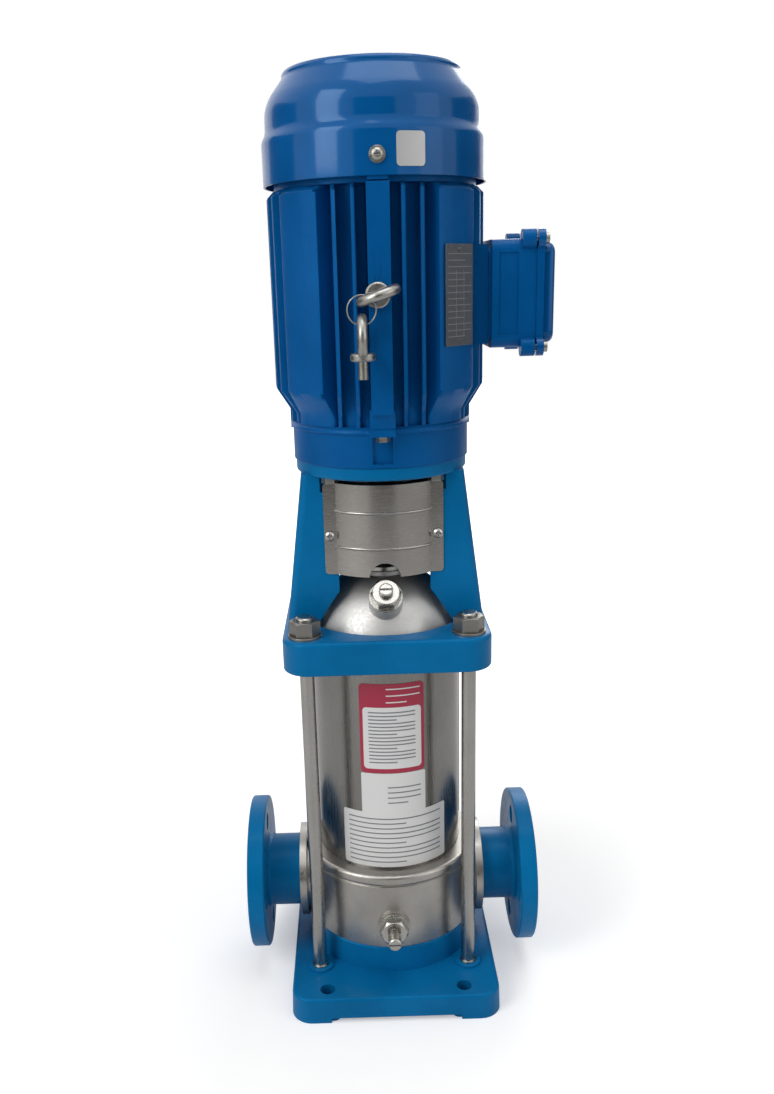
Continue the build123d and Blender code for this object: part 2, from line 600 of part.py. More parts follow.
def make_impeller(z):
    """A closed impeller: eye ring, two shrouds and six curved blades on a hub."""
    lower = z + 8
    upper = z + 19
    wheel = tube(IMPELLER_R, IMPELLER_EYE_R - 2, lower, lower + 1.5)
    wheel += tube(IMPELLER_EYE_R, IMPELLER_EYE_R - 2, z + 3, lower + 1)
    wheel += disc(IMPELLER_R, upper, upper + 1.5)
    wheel += disc(HUB_R, lower, upper + 4)
    blade = curved_blade(11.5, IMPELLER_R - 0.5, 55, 2.0, lower + 0.5, upper + 0.5)
    for turn in range(6):
        wheel += Rot(0, 0, 60 * turn) * blade
    return largest(wheel - disc(SHAFT_R, z, upper + 6))


def make_impellers():
    return group([make_impeller(STACK_BOTTOM + STAGE_PITCH * stage) for stage in range(STAGES)])


def make_impeller_spacers():
    """Sleeves on the shaft that carry the load from one impeller hub to the next."""
    spacers = []
    for stage in range(STAGES - 1):
        z0 = STACK_BOTTOM + STAGE_PITCH * stage + 23
        spacers.append(tube(SPACER_R, SHAFT_R, z0, z0 + STAGE_PITCH - 15))
    return group(spacers)


def make_chamber(z):
    """A pressed cup with a deck under the next stage and six return vanes on its floor."""
    top = z + STAGE_PITCH
    cup = tube(CHAMBER_R, CHAMBER_R - CHAMBER_WALL, z, top)
    cup += tube(CHAMBER_R - 0.5, IMPELLER_EYE_R + RUNNING_GAP, z, z + 1.5)
    cup += tube(IMPELLER_EYE_R + RUNNING_GAP + 2, IMPELLER_EYE_R + RUNNING_GAP, z, z + 5.5)
    vane = curved_blade(IMPELLER_EYE_R + 4, CHAMBER_R - 1, -40, 1.6, z + 22.5, top)
    cup += tube(CHAMBER_R - 7, HUB_R + 0.5, z + 21.5, z + 23)
    for turn in range(6):
        cup += Rot(0, 0, 60 * turn) * vane
    return largest(cup)


def make_stage_chambers():
    return group([make_chamber(STACK_BOTTOM + STAGE_PITCH * stage) for stage in range(STAGES)])


def make_suction_interconnector():
    """The funnel that carries the stack on the casing's partition."""
    seat_z = SLEEVE_SEAT_Z
    funnel = disc(PARTITION_R + 3.5, seat_z, seat_z + 3) + disc(CHAMBER_R, STACK_BOTTOM - 3, STACK_BOTTOM)
    funnel += turned_outline([(0, seat_z + 2), (PARTITION_R + 3.5, seat_z + 2), (CHAMBER_R, STACK_BOTTOM - 2),
                              (0, STACK_BOTTOM - 2)])
    return funnel - turned_outline([(0, seat_z - 1), (PARTITION_R, seat_z - 1), (PARTITION_R, seat_z + 2),
                                    (IMPELLER_EYE_R + 4, STACK_BOTTOM - 2),
                                    (IMPELLER_EYE_R + 4, STACK_BOTTOM + 1), (0, STACK_BOTTOM + 1)])


def make_discharge_chamber():
    """Closes the top of the stack and lets the water out through six windows."""
    top = STACK_TOP + STACK_END_HEIGHT
    chamber = tube(CHAMBER_R, CHAMBER_R - 2, STACK_TOP, top) + tube(CHAMBER_R - 1, HUB_R + 1, top - 3, top)
    window = block(0, CHAMBER_R + 5, -10, 10, STACK_TOP + 4, top - 6)
    for turn in range(6):
        chamber -= Rot(0, 0, 60 * turn) * window
    return largest(chamber)


def make_stack_straps():
    """Two flat straps that pull the stack together, hooked over its top and bottom."""
    radius = CHAMBER_R + 0.1
    straps = []
    for side in (-1, 1):
        z0, z1 = STACK_BOTTOM - 12, STACK_TOP + STACK_END_HEIGHT
        strap = tube(radius + 1.5, radius, z0 + 9.2, z1 + 1.5) & block(
            *sorted((side * 20, side * (CHAMBER_R + 20.5))), -9, 9, z0, z1 + 2)
        hook = tube(radius + 1.5, CHAMBER_R - 8, z1 + 0.1, z1 + 1.6) & block(
            *sorted((side * 20, side * (CHAMBER_R + 20.5))), -9, 9, z0, z1 + 2)
        straps.append(Rot(0, 0, 90) * (strap + hook))
    return group(straps)


def make_pump_shaft():
    shaft = disc(SHAFT_R, PUMP_SHAFT_BOTTOM, PUMP_SHAFT_TOP)
    shaft = chamfer(shaft.edges().filter_by(GeomType.CIRCLE), 1)
    return shaft - Pos(0, 0, COUPLING_PIN_Z) * along_x(disc(COUPLING_PIN_R, -20, 20))


def make_shaft_nut():
    """Holds the lowest impeller on the shaft."""
    top = STACK_BOTTOM + 8
    nut = hexagon(22, top - 9, top) - disc(SHAFT_R, top - 10, top + 1)
    return nut


def make_seal_stationary():
    """The seal's fixed seat and gland, screwed into the head's neck."""
    seat_bottom = SEAL_NECK_TOP - SEAL_SEAT_DEPTH
    seat = tube(SEAL_POCKET_R - SEAT_GAP, SEAL_BORE_R, seat_bottom, SEAL_NECK_TOP)
    return seat + tube(SEAL_NECK_R - 1, SEAL_BORE_R, SEAL_NECK_TOP, SEAL_NECK_TOP + 4)


def make_seal_rotary():
    """The seal's turning ring, spring and drive collar on the shaft."""
    top = SEAL_NECK_TOP - SEAL_SEAT_DEPTH - 0.5
    ring = tube(SEAL_RING_R, SHAFT_R, top - 16.5, top)
    return ring + tube(SEAL_COLLAR_R, SHAFT_R, top - 19.5, top - 15.5)


# ---------------------------------------------------------------- coupling


def make_coupling_half(side):
    """Half of the clamped coupling: small bore for the pump shaft, large bore for the motor shaft."""
    body = disc(COUPLING_R, COUPLING_BOTTOM, COUPLING_TOP)
    body = chamfer(body.edges().filter_by(GeomType.CIRCLE), 2)
    body -= tube(COUPLING_R + 2, COUPLING_R - 3, COUPLING_BOTTOM + 22, COUPLING_TOP - 22)
    body -= disc(SHAFT_R, COUPLING_BOTTOM - 1, PUMP_SHAFT_TOP + 1)
    body -= disc(MOTOR_SHAFT_R, PUMP_SHAFT_TOP + 0.5, COUPLING_TOP + 1)
    body -= Pos(0, 0, COUPLING_PIN_Z) * along_x(disc(COUPLING_PIN_R, -22, 22))
    for z in COUPLING_SCREW_Z:
        for x in (-COUPLING_SCREW_X, COUPLING_SCREW_X):
            body -= Pos(x, 0, z) * along_front(disc(COUPLING_SCREW_R, -COUPLING_R, COUPLING_R))
            body -= Pos(x, 0, z) * along_front(disc(5.3, 12, COUPLING_R))
    body &= block(-COUPLING_R, COUPLING_R, -COUPLING_R, -COUPLING_GAP / 2, 0, COWL_TOP)
    return largest(body) if side < 0 else Rot(0, 0, 180) * largest(body)


def make_coupling_screws():
    """Socket-head screws that clamp the two halves; two enter from each side."""
    screws = []
    for z in COUPLING_SCREW_Z:
        shank = disc(COUPLING_SCREW_R, -24, 12.5)
        head = disc(5, 12, 18) - hexagon(5, 14.5, 19)
        front = Pos(-COUPLING_SCREW_X, 0, z) * along_front(shank + head)
        screws += [front, Rot(0, 0, 180) * front]
    return group(screws)


def make_coupling_pin():
    return Pos(0, 0, COUPLING_PIN_Z) * along_x(disc(COUPLING_PIN_R, -20, 20))


# ---------------------------------------------------------------- motor


def make_lower_shield():
    """The drive-end shield: mounting face, spigot, bearing seat and four screw pockets."""
    body = disc(SHIELD_R, MOTOR_FACE_Z, SHIELD_RIM_Z)
    body = chamfer(body.edges().filter_by(GeomType.CIRCLE).group_by(Axis.Z)[0], 1)
    rim = disc(SHIELD_RIM_R, SHIELD_RIM_Z - 1, FRAME_BOTTOM)
    body += fillet(rim.edges().filter_by(GeomType.CIRCLE).group_by(Axis.Z)[0], 0.6)
    body += disc(MOTOR_SPIGOT_R, MOTOR_FACE_Z - 3.5, MOTOR_FACE_Z + 1)
    body += disc(FRAME_BORE_R - SEAT_GAP, FRAME_BOTTOM - 1, FRAME_BOTTOM + 4)
    for turn in range(4):
        ear = block(-EAR_HALF, EAR_HALF, -EAR_SCREW_Y - 5, -60, MOTOR_FACE_Z, FRAME_BOTTOM)
        pocket = block(-EAR_HALF + 2, EAR_HALF - 2, -EAR_SCREW_Y - 8, -SHIELD_R + 3,
                       MOTOR_FACE_Z + 4, SHIELD_RIM_Z - 2)
        ear_top = ear & disc(FIN_TIP_R, MOTOR_FACE_Z, FRAME_BOTTOM) & block(
            -50, 50, -100, 0, SHIELD_RIM_Z - 2, FRAME_BOTTOM)
        body += Rot(0, 0, 90 * turn) * ear_top
        body -= Rot(0, 0, 90 * turn) * pocket
        body -= Rot(0, 0, 90 * turn) * disc(EAR_SCREW_R, MOTOR_FACE_Z + 3, FRAME_BOTTOM + 1, 0, -EAR_SCREW_Y)
    body -= disc(BEARING_OUTER_R, LOWER_BEARING_Z, FRAME_BOTTOM + 5)
    body -= disc(SHAFT_CLEAR_R, MOTOR_FACE_Z - 5, FRAME_BOTTOM)
    body -= tube(FRAME_BORE_R - 8, BEARING_OUTER_R + 6, LOWER_BEARING_Z + 6, FRAME_BOTTOM + 5)
    reach = MOTOR_BOLT_CIRCLE / 2 * cos(radians(45))
    for x, y in corners(reach, reach):
        body -= disc(MOTOR_BOLT_R, MOTOR_FACE_Z - 1, MOTOR_FACE_Z + 13, x, y)
    return largest(body)


def make_shield_screws():
    """Screws from the lower shield's pockets up into the frame's ears."""
    screw = disc(EAR_SCREW_R, SHIELD_RIM_Z - 3, FRAME_BOTTOM + 12, 0, -EAR_SCREW_Y)
    head = Pos(0, -EAR_SCREW_Y, 0) * hexagon(10, SHIELD_RIM_Z - 6.2, SHIELD_RIM_Z - 2)
    return group([Rot(0, 0, 90 * turn) * (screw + head) for turn in range(4)])


def fin_bank(fins):
    """Parallel cooling fins for the front of the frame, as a flat sketch."""
    sketch = Sketch()
    for x in fins:
        sketch += Pos(x, -80) * Rectangle(FIN_THICKNESS, 40)
    return sketch


def make_stator_frame():
    """Cast frame: a round core, four flat corner pads, four banks of fins and a rib on each side."""
    profile = Circle(FRAME_CORE_R)
    fins = [side * (FIN_PITCH * n + 4.5) for n in (1, 2, 3) for side in (-1, 1)]
    bank = fin_bank(fins) + Pos(0, -85) * Rectangle(RIB_WIDTH, 2 * (RIB_FACE_Y - 85))
    bank += Pos(0, -72) * Rectangle(RIB_WIDTH, 20)
    pad = Pos(0, -FACET_DISTANCE + 20) * Rectangle(FACET_WIDTH, 40)
    for turn in range(4):
        side_bank = bank if turn == 0 else fin_bank(fins + [0])
        profile += Rot(0, 0, 90 * turn) * side_bank
        profile += Rot(0, 0, 90 * turn + 45) * pad
    body = extrude(Pos(0, 0, FRAME_BOTTOM) * profile, FRAME_TOP - FRAME_BOTTOM)
    rib_zone = block(-RIB_WIDTH / 2, RIB_WIDTH / 2, -RIB_FACE_Y, -70, FRAME_BOTTOM + 12, FRAME_TOP)
    envelope = turned_outline([(0, FRAME_BOTTOM), (SHIELD_RIM_R, FRAME_BOTTOM), (SHIELD_RIM_R, FRAME_BOTTOM + 9),
                               (FIN_TIP_R, FRAME_BOTTOM + 28), (FIN_TIP_R, FRAME_TOP - 5),
                               (FIN_TIP_R - 5, FRAME_TOP), (0, FRAME_TOP)])
    body = (body & envelope) + (body & rib_zone)
    for turn in range(4):
        ear = block(-EAR_HALF, EAR_HALF, -EAR_SCREW_Y - 6, -70, FRAME_BOTTOM, FRAME_BOTTOM + 15)
        body += Rot(0, 0, 90 * turn) * ear
    # platform for the terminal box
    body += block(70, BOX_NECK_X, -38, 38, BOX_Z - 40, BOX_Z + 40)
    body -= disc(FRAME_BORE_R, FRAME_BOTTOM - 1, FRAME_TOP + 1)
    for turn in range(4):
        body -= Rot(0, 0, 90 * turn) * disc(EAR_SCREW_R, FRAME_BOTTOM - 1, FRAME_BOTTOM + 13, 0, -EAR_SCREW_Y)
    body -= Pos(EYE_X, 0, EYE_Z) * along_front(disc(EYE_SHANK_R, 79, RIB_FACE_Y + 2))
    body -= along_x(Pos(-BOX_Z, 0, 0) * disc(14, 60, BOX_NECK_X + 1))
    return largest(body)


def make_stator_core():
    """Laminated core with twenty-four open slots."""
    core = tube(FRAME_BORE_R, STATOR_BORE_R, CORE_BOTTOM, CORE_TOP)
    slot = Pos(STATOR_BORE_R + 4.5, 0, (CORE_BOTTOM + CORE_TOP) / 2) * Box(15, 5.5, CORE_TOP - CORE_BOTTOM + 2)
    for n in range(24):
        core -= Rot(0, 0, 15 * n) * slot
    return largest(core)


def make_stator_windings():
    """The coils: a bar in each slot, and a rounded bundle over each end of the core."""
    inner, outer = STATOR_BORE_R + 2, STATOR_BORE_R + 13
    coil = tube(outer, inner, CORE_BOTTOM - WINDING_OVERHANG, CORE_BOTTOM)
    coil = fillet(coil.edges().filter_by(GeomType.CIRCLE).group_by(Axis.Z)[0], 4)
    upper = tube(outer, inner, CORE_TOP, CORE_TOP + WINDING_OVERHANG)
    upper = fillet(upper.edges().filter_by(GeomType.CIRCLE).group_by(Axis.Z)[-1], 4)
    bars = []
    for n in range(24):
        bar = block(inner + 1, outer - 1.5, -2.6, 2.6, CORE_BOTTOM - 1, CORE_TOP + 1)
        bars.append(Rot(0, 0, 15 * n) * bar)
    return joined([coil, upper, *bars])


def make_rotor_core():
    """Cast cage rotor with short fan blades on its end rings."""
    core = tube(STATOR_BORE_R - ROTOR_GAP, ROTOR_SEAT_R, CORE_BOTTOM, CORE_TOP)
    ring = tube(STATOR_BORE_R - 4, ROTOR_SEAT_R + 7, CORE_BOTTOM - 8, CORE_TOP + 8)
    core += ring
    blade = block(STATOR_BORE_R - 16, STATOR_BORE_R - 5, -1.5, 1.5,
                  CORE_BOTTOM - WINDING_OVERHANG, CORE_TOP + WINDING_OVERHANG)
    for n in range(8):
        core += Rot(0, 0, 45 * n) * blade
    return largest(core - disc(ROTOR_SEAT_R, CORE_BOTTOM - 20, CORE_TOP + 20))


def make_motor_shaft():
    """Stepped shaft from the coupling end up to the fan seat."""
    steps = [(MOTOR_SHAFT_R, MOTOR_SHAFT_BOTTOM, LOWER_BEARING_Z),
             (BEARING_BORE_R, LOWER_BEARING_Z - 4, LOWER_BEARING_Z + BEARING_WIDTH),
             (ROTOR_SEAT_R, LOWER_BEARING_Z + BEARING_WIDTH, UPPER_BEARING_Z),
             (BEARING_BORE_R, UPPER_BEARING_Z - 1, UPPER_BEARING_Z + BEARING_WIDTH + 2),
             (FAN_BORE_R, UPPER_BEARING_Z + BEARING_WIDTH, FAN_TOP + 5)]
    shaft = joined([disc(radius, z0, z1) for radius, z0, z1 in steps])
    key_slot = block(-4, 4, -MOTOR_SHAFT_R - 1, -MOTOR_SHAFT_R + 4, MOTOR_SHAFT_BOTTOM + 34, MOTOR_FACE_Z + 6)
    return shaft - key_slot


def make_fan():
    """Moulded radial fan: a backplate, a hub and eight straight blades."""
    fan = disc(24, FAN_BOTTOM, FAN_TOP) + disc(FAN_R - 6, FAN_BOTTOM, FAN_BOTTOM + 2.5)
    blade = turned_outline([(22, FAN_BOTTOM + 1), (FAN_R, FAN_BOTTOM + 1), (FAN_R, FAN_TOP - 6),
                            (22, FAN_TOP)]) & block(20, FAN_R + 5, -1.3, 1.3, FAN_BOTTOM, FAN_TOP + 1)
    for n in range(8):
        fan += Rot(0, 0, 45 * n) * blade
    return largest(fan - disc(FAN_BORE_R, FAN_BOTTOM - 1, FAN_TOP + 1))


def make_fan_clip():
    return tube(16, FAN_BORE_R, FAN_TOP, FAN_TOP + 1.5) - block(-3, 3, 5, 20, FAN_TOP - 1, FAN_TOP + 3)


def bearing_seats():
    return (LOWER_BEARING_Z, UPPER_BEARING_Z)


def bearing_race_r():
    return (BEARING_BORE_R + BEARING_OUTER_R) / 2


def make_bearing_outer_rings():
    rings = []
    for z in bearing_seats():
        ring = tube(BEARING_OUTER_R, BEARING_OUTER_R - BEARING_RING, z, z + BEARING_WIDTH)
        rings.append(ring - Pos(0, 0, z + BEARING_WIDTH / 2) * Torus(bearing_race_r(), BALL_R + 0.05))
    return group(rings)


def make_bearing_inner_rings():
    rings = []
    for z in bearing_seats():
        ring = tube(BEARING_BORE_R + BEARING_RING, BEARING_BORE_R, z, z + BEARING_WIDTH)
        rings.append(ring - Pos(0, 0, z + BEARING_WIDTH / 2) * Torus(bearing_race_r(), BALL_R + 0.05))
    return group(rings)


def make_bearing_balls():
    balls = []
    for z in bearing_seats():
        for n in range(BALLS):
            ball = Pos(bearing_race_r(), 0, z + BEARING_WIDTH / 2) * Sphere(BALL_R)
            balls.append(Rot(0, 0, 360 / BALLS * n) * ball)
    return group(balls)


def make_upper_shield():
    """The fan-end shield, which closes the frame and carries the cowl's screws."""
    body = disc(85, FRAME_TOP, FRAME_TOP + 6)
    body += disc(FRAME_BORE_R - SEAT_GAP, FRAME_TOP - 4, FRAME_TOP + 1)
    body += disc(BEARING_OUTER_R + 6, FRAME_TOP - 1, UPPER_BEARING_Z + BEARING_WIDTH + 3)
    for turn in range(3):
        post = block(-8, 8, -COWL_R + COWL_SHEET + SEAT_GAP, -70, FRAME_TOP + 1, COWL_SCREW_Z + 7)
        post &= disc(COWL_R - COWL_SHEET - SEAT_GAP, FRAME_TOP, COWL_SCREW_Z + 8)
        body += Rot(0, 0, 120 * turn) * post
        hole = Pos(0, 0, COWL_SCREW_Z) * along_front(disc(2.5, 76, COWL_R + 1))
        body -= Rot(0, 0, 120 * turn) * hole
    body -= disc(BEARING_OUTER_R, FRAME_TOP - 5, UPPER_BEARING_Z + BEARING_WIDTH)
    body -= disc(SHAFT_CLEAR_R - 2, FRAME_TOP - 5, UPPER_BEARING_Z + BEARING_WIDTH + 4)
    return largest(body)


def cowl_outline(inset):
    """The cowl's side, from its open edge to the middle of its top."""
    return [(COWL_R - inset, COWL_BOTTOM), (COWL_R - inset, COWL_STEP_Z),
            (COWL_NECK_R - inset, COWL_STEP_Z + COWL_STEP_RISE),
            (COWL_NECK_R - 1 - inset, COWL_SHOULDER_Z), (COWL_RIM_R - inset, COWL_TOP - 6),
            (COWL_RIM_R - inset, COWL_TOP - inset)]


def make_fan_cowl():
    outer = turned_outline([(0, COWL_BOTTOM), *cowl_outline(0), (0, COWL_TOP)])
    outer = fillet(outer.edges().filter_by(GeomType.CIRCLE).group_by(Axis.Z)[-1], 4)
    inner = turned_outline([(0, COWL_BOTTOM - 1), (COWL_R - COWL_SHEET, COWL_BOTTOM - 1),
                            *cowl_outline(COWL_SHEET), (0, COWL_TOP - COWL_SHEET)])
    cowl = outer - inner
    # the grille: rings of slots between eight spokes
    slots = Sketch()
    for radius in (22, 33, 44, 55, 66):
        slots += Circle(radius) - Circle(radius - 6.5)
    for n in range(4):
        slots -= Rot(0, 0, 45 * n) * Rectangle(2 * COWL_R, 6)
    cowl -= extrude(Pos(0, 0, COWL_TOP - 8) * slots, 10)
    for turn in range(3):
        hole = Pos(0, 0, COWL_SCREW_Z) * along_front(disc(2.8, COWL_R - 8, COWL_R + 1))
        cowl -= Rot(0, 0, 120 * turn) * hole
    return largest(cowl)


def make_cowl_screws():
    """Pan-head screws with a washer each, through the cowl into the shield's posts."""
    washer = disc(6.3, 0.3, 1.5)
    head = turned_outline([(0, 1.4), (4.6, 1.4), (4.3, 3.2), (2.6, 4.4), (0, 4.6)])
    socket = block(-2.6, 2.6, -0.5, 0.5, 3, 6) + block(-0.5, 0.5, -2.6, 2.6, 3, 6)
    shank = disc(2.45, -12, 1.6)
    screw = Pos(0, -COWL_R, COWL_SCREW_Z) * along_front(shank + washer + head - socket)
    return group([Rot(0, 0, 120 * turn) * screw for turn in range(3)])


# ---------------------------------------------------------------- terminal box
def box_slab(half, x0, x1, corner):
    """A rounded square slab standing across X."""
    slab = extrude(RectangleRounded(2 * half, 2 * half, corner), x1 - x0)
    return Pos(x0, 0, BOX_Z) * along_x(slab)


def lid_corners():
    reach = BOX_HALF - 2
    return corners(reach, reach)


def make_terminal_box():
    """Cast box on the frame's platform, with a lug at each corner for the lid's screws."""
    box = box_slab(BOX_HALF - 6, BOX_NECK_X, BOX_X + 2, 6) + box_slab(BOX_HALF, BOX_X, BOX_LID_X - 1.5, 9)
    for y, z in lid_corners():
        lug = Pos(BOX_LID_X - 13, y * 1.04, BOX_Z + z * 1.04) * along_x(disc(7.5, 0, 11.5))
        box += lug
    box -= box_slab(BOX_HALF - BOX_WALL, BOX_X + BOX_WALL, BOX_LID_X + 1, 6)
    box -= Pos(0, 0, BOX_Z) * along_x(disc(14, BOX_NECK_X - 1, BOX_X + 10))
    # shallow panel on the front and rear walls
    for face in (-1, 1):
        y0, y1 = sorted((face * (BOX_HALF - 1.2), face * (BOX_HALF + 1)))
        panel = block(BOX_X + 6, BOX_LID_X - 15, y0, y1, BOX_Z - 33, BOX_Z + 33)
        box -= panel
    for z in (BOX_Z - 18, BOX_Z + 18):
        box -= Pos(BOX_X + 22, 0, z) * Rot(-90, 0, 0) * disc(GLAND_R, BOX_HALF - 10, BOX_HALF + 2)
    for y, z in lid_corners():
        box -= Pos(BOX_LID_X - 12, y * 1.04, BOX_Z + z * 1.04) * along_x(disc(2.5, 0, 14))
    return largest(box)


def make_terminal_gasket():
    rim = box_slab(BOX_HALF, BOX_LID_X - 1.5, BOX_LID_X, 9)
    return rim - box_slab(BOX_HALF - BOX_WALL, BOX_LID_X - 3, BOX_LID_X + 1, 6)


def make_terminal_lid():
    lid = box_slab(BOX_HALF + 1, BOX_LID_X, BOX_LID_X + 6, 9)
    for y, z in lid_corners():
        lid += Pos(BOX_LID_X, y * 1.04, BOX_Z + z * 1.04) * along_x(disc(7.5, 0, 6))
    crown = box_slab(BOX_HALF - 3, BOX_LID_X + 5, BOX_LID_END_X, 10)
    lid += fillet(crown.faces().sort_by(Axis.X)[-1].edges(), 5)
    lid -= box_slab(BOX_HALF - BOX_WALL - 3, BOX_LID_X - 1, BOX_LID_END_X - 3, 7)
    for y, z in lid_corners():
        lid -= Pos(BOX_LID_X - 1, y * 1.04, BOX_Z + z * 1.04) * along_x(disc(2.8, 0, 20))
        lid -= Pos(BOX_LID_X + 6, y * 1.04, BOX_Z + z * 1.04) * along_x(disc(6, 0, 20))
    return largest(lid)


def make_lid_screws():
    head = disc(4.5, 6, 9.5) - hexagon(4, 7.5, 10)
    screw = along_x(disc(2.4, -10, 6.5) + head)
    return group([Pos(BOX_LID_X, y * 1.04, BOX_Z + z * 1.04) * screw for y, z in lid_corners()])


def make_terminal_block():
    """Moulded base with six studs in two rows."""
    base = block(BOX_X + BOX_WALL, BOX_X + BOX_WALL + 12, -22, 22, BOX_Z - 30, BOX_Z + 30)
    base -= Pos(0, 0, BOX_Z) * along_x(disc(8, BOX_X, BOX_X + 10))
    for y in (-11, 11):
        for z in (-18, 0, 18):
            base += Pos(BOX_X + BOX_WALL + 11, y, BOX_Z + z) * along_x(disc(2.5, 0, 12) + hexagon(8, 0, 5))
    return largest(base)


def make_cable_gland():
    """Threaded gland with a dome nut, in the box's rear wall."""
    gland = disc(GLAND_R - SEAT_GAP, -8, 1) + hexagon(24, 0, 6)
    gland += turned_outline([(0, 5), (11.5, 5), (11.5, 15), (8.5, 20), (0, 20)])
    gland -= disc(5.5, -9, 21)
    return Pos(BOX_X + 22, BOX_HALF, BOX_Z - 18) * Rot(-90, 0, 0) * gland


def make_blanking_plug():
    stopper = disc(GLAND_R - SEAT_GAP, -8, 1) + hexagon(24, 0, 5)
    return Pos(BOX_X + 22, BOX_HALF, BOX_Z + 18) * Rot(-90, 0, 0) * stopper


def make_nameplate():
    """A blank plate on the right-hand corner pad."""
    plate = block(-NAMEPLATE_WIDTH / 2, NAMEPLATE_WIDTH / 2, -FACET_DISTANCE - 0.8, -FACET_DISTANCE,
                  NAMEPLATE_Z - NAMEPLATE_LENGTH / 2, NAMEPLATE_Z + NAMEPLATE_LENGTH / 2)
    plate = fillet(plate.edges().filter_by(Axis.Y), 1.5)
    rivets = [Pos(0, -FACET_DISTANCE - 0.6, NAMEPLATE_Z + side * (NAMEPLATE_LENGTH / 2 - 4)) *
              along_front(disc(1.4, 0, 1.1)) for side in (-1, 1)]
    return Rot(0, 0, 45) * (plate + rivets)


# ---------------------------------------------------------------- lifting eyes


def eye_bolt(shank_length):
    """A lifting eye standing on z = 0: shank below, collar, and a ring in the XZ plane above."""
    ring = Pos(0, 0, EYE_CENTRE) * Rot(90, 0, 0) * Torus(EYE_RING_R, EYE_BAR_R)
    collar = chamfer(disc(EYE_COLLAR_R, 0, EYE_COLLAR_H).edges().filter_by(GeomType.CIRCLE), 1.2)
    return ring + collar + disc(EYE_SHANK_R - 0.05, -shank_length, 1)


def held_bar():
    """Centre of the fitted eye's bar where the wire ring hangs on it."""
    turn = radians(EYE_TURN)
    reach = sqrt(EYE_RING_R ** 2 - EYE_HANG ** 2)
    y = -RIB_FACE_Y - EYE_CENTRE - EYE_HANG
    return EYE_X - reach * cos(turn), y, EYE_Z - reach * sin(turn)


def make_lifting_eye():
    turned_ring = Rot(0, 0, EYE_TURN) * eye_bolt(12)
    return Pos(EYE_X, -RIB_FACE_Y, EYE_Z) * along_front(turned_ring)


def wire_centre():
    x, y, z = held_bar()
    return x, y, z + EYE_BAR_R + WIRE_GAP - (WIRE_RING_R - WIRE_R)


def make_wire_ring():
    return Pos(*wire_centre()) * Rot(90, 0, 0) * Torus(WIRE_RING_R, WIRE_R)


def make_spare_eye():
    """The second eye, hanging by its ring from the wire ring."""
    x, y, z = wire_centre()
    bar_z = z - (WIRE_RING_R - WIRE_R) + WIRE_GAP + EYE_BAR_R
    ring_z = bar_z - EYE_RING_R
    return Pos(x, y, ring_z - EYE_CENTRE) * Rot(0, 0, 90) * eye_bolt(14)


# ---------------------------------------------------------------- write the nodes
NODES = {
    "base_plate": make_base_plate,
    "base_casing": make_base_casing,
    "suction_flange": lambda: make_port_flange(-1),
    "discharge_flange": lambda: make_port_flange(1),
    "drain_plug": make_drain_plug,
    "drain_spindle": make_drain_spindle,
    "priming_plug": make_priming_plug,
    "vent_spindle": make_vent_spindle,
    "pump_head": make_pump_head,
    "outer_sleeve": make_outer_sleeve,
    "sleeve_seals": make_sleeve_seals,
    "tie_rods": make_tie_rods,
    "tie_rod_washers": make_tie_rod_washers,
    "tie_rod_nuts": make_tie_rod_nuts,
    "motor_stool": make_motor_stool,
    "front_guard": lambda: make_guard(True),
    "rear_guard": lambda: make_guard(False),
    "guard_screws": make_guard_screws,
    "motor_flange_bolts": make_motor_flange_bolts,
    "impellers": make_impellers,
    "impeller_spacers": make_impeller_spacers,
    "stage_chambers": make_stage_chambers,
    "suction_interconnector": make_suction_interconnector,
    "discharge_chamber": make_discharge_chamber,
    "stack_straps": make_stack_straps,
    "pump_shaft": make_pump_shaft,
    "shaft_nut": make_shaft_nut,
    "seal_seat": make_seal_stationary,
    "seal_rotary_head": make_seal_rotary,
    "coupling_half_front": lambda: make_coupling_half(-1),
    "coupling_half_rear": lambda: make_coupling_half(1),
    "coupling_screws": make_coupling_screws,
    "coupling_pin": make_coupling_pin,
    "lower_end_shield": make_lower_shield,
    "shield_screws": make_shield_screws,
    "stator_frame": make_stator_frame,
    "stator_core": make_stator_core,
    "stator_windings": make_stator_windings,
    "rotor_core": make_rotor_core,
    "motor_shaft": make_motor_shaft,
    "cooling_fan": make_fan,
    "fan_clip": make_fan_clip,
    "bearing_outer_rings": make_bearing_outer_rings,
    "bearing_inner_rings": make_bearing_inner_rings,
    "bearing_balls": make_bearing_balls,
    "upper_end_shield": make_upper_shield,
    "fan_cowl": make_fan_cowl,
    "cowl_screws": make_cowl_screws,
    "terminal_box": make_terminal_box,
    "terminal_gasket": make_terminal_gasket,
    "terminal_box_lid": make_terminal_lid,
    "lid_screws": make_lid_screws,
    "terminal_block": make_terminal_block,
    "cable_gland": make_cable_gland,
    "blanking_plug": make_blanking_plug,
    "nameplate": make_nameplate,
    "lifting_eye": make_lifting_eye,
    "wire_ring": make_wire_ring,
    "spare_eye": make_spare_eye,
}

for name, make in NODES.items():
    export_step(make(), f"parts/{name}.step")
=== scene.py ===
"""Paint, metal finishes, stickers, threads and a studio for a packed vertical multistage pump.

Lengths in the tables are in millimetres and angles in degrees. What comes from the frame is in metres.
"""
import math

import bmesh
import bpy
from mathutils import Matrix, Vector


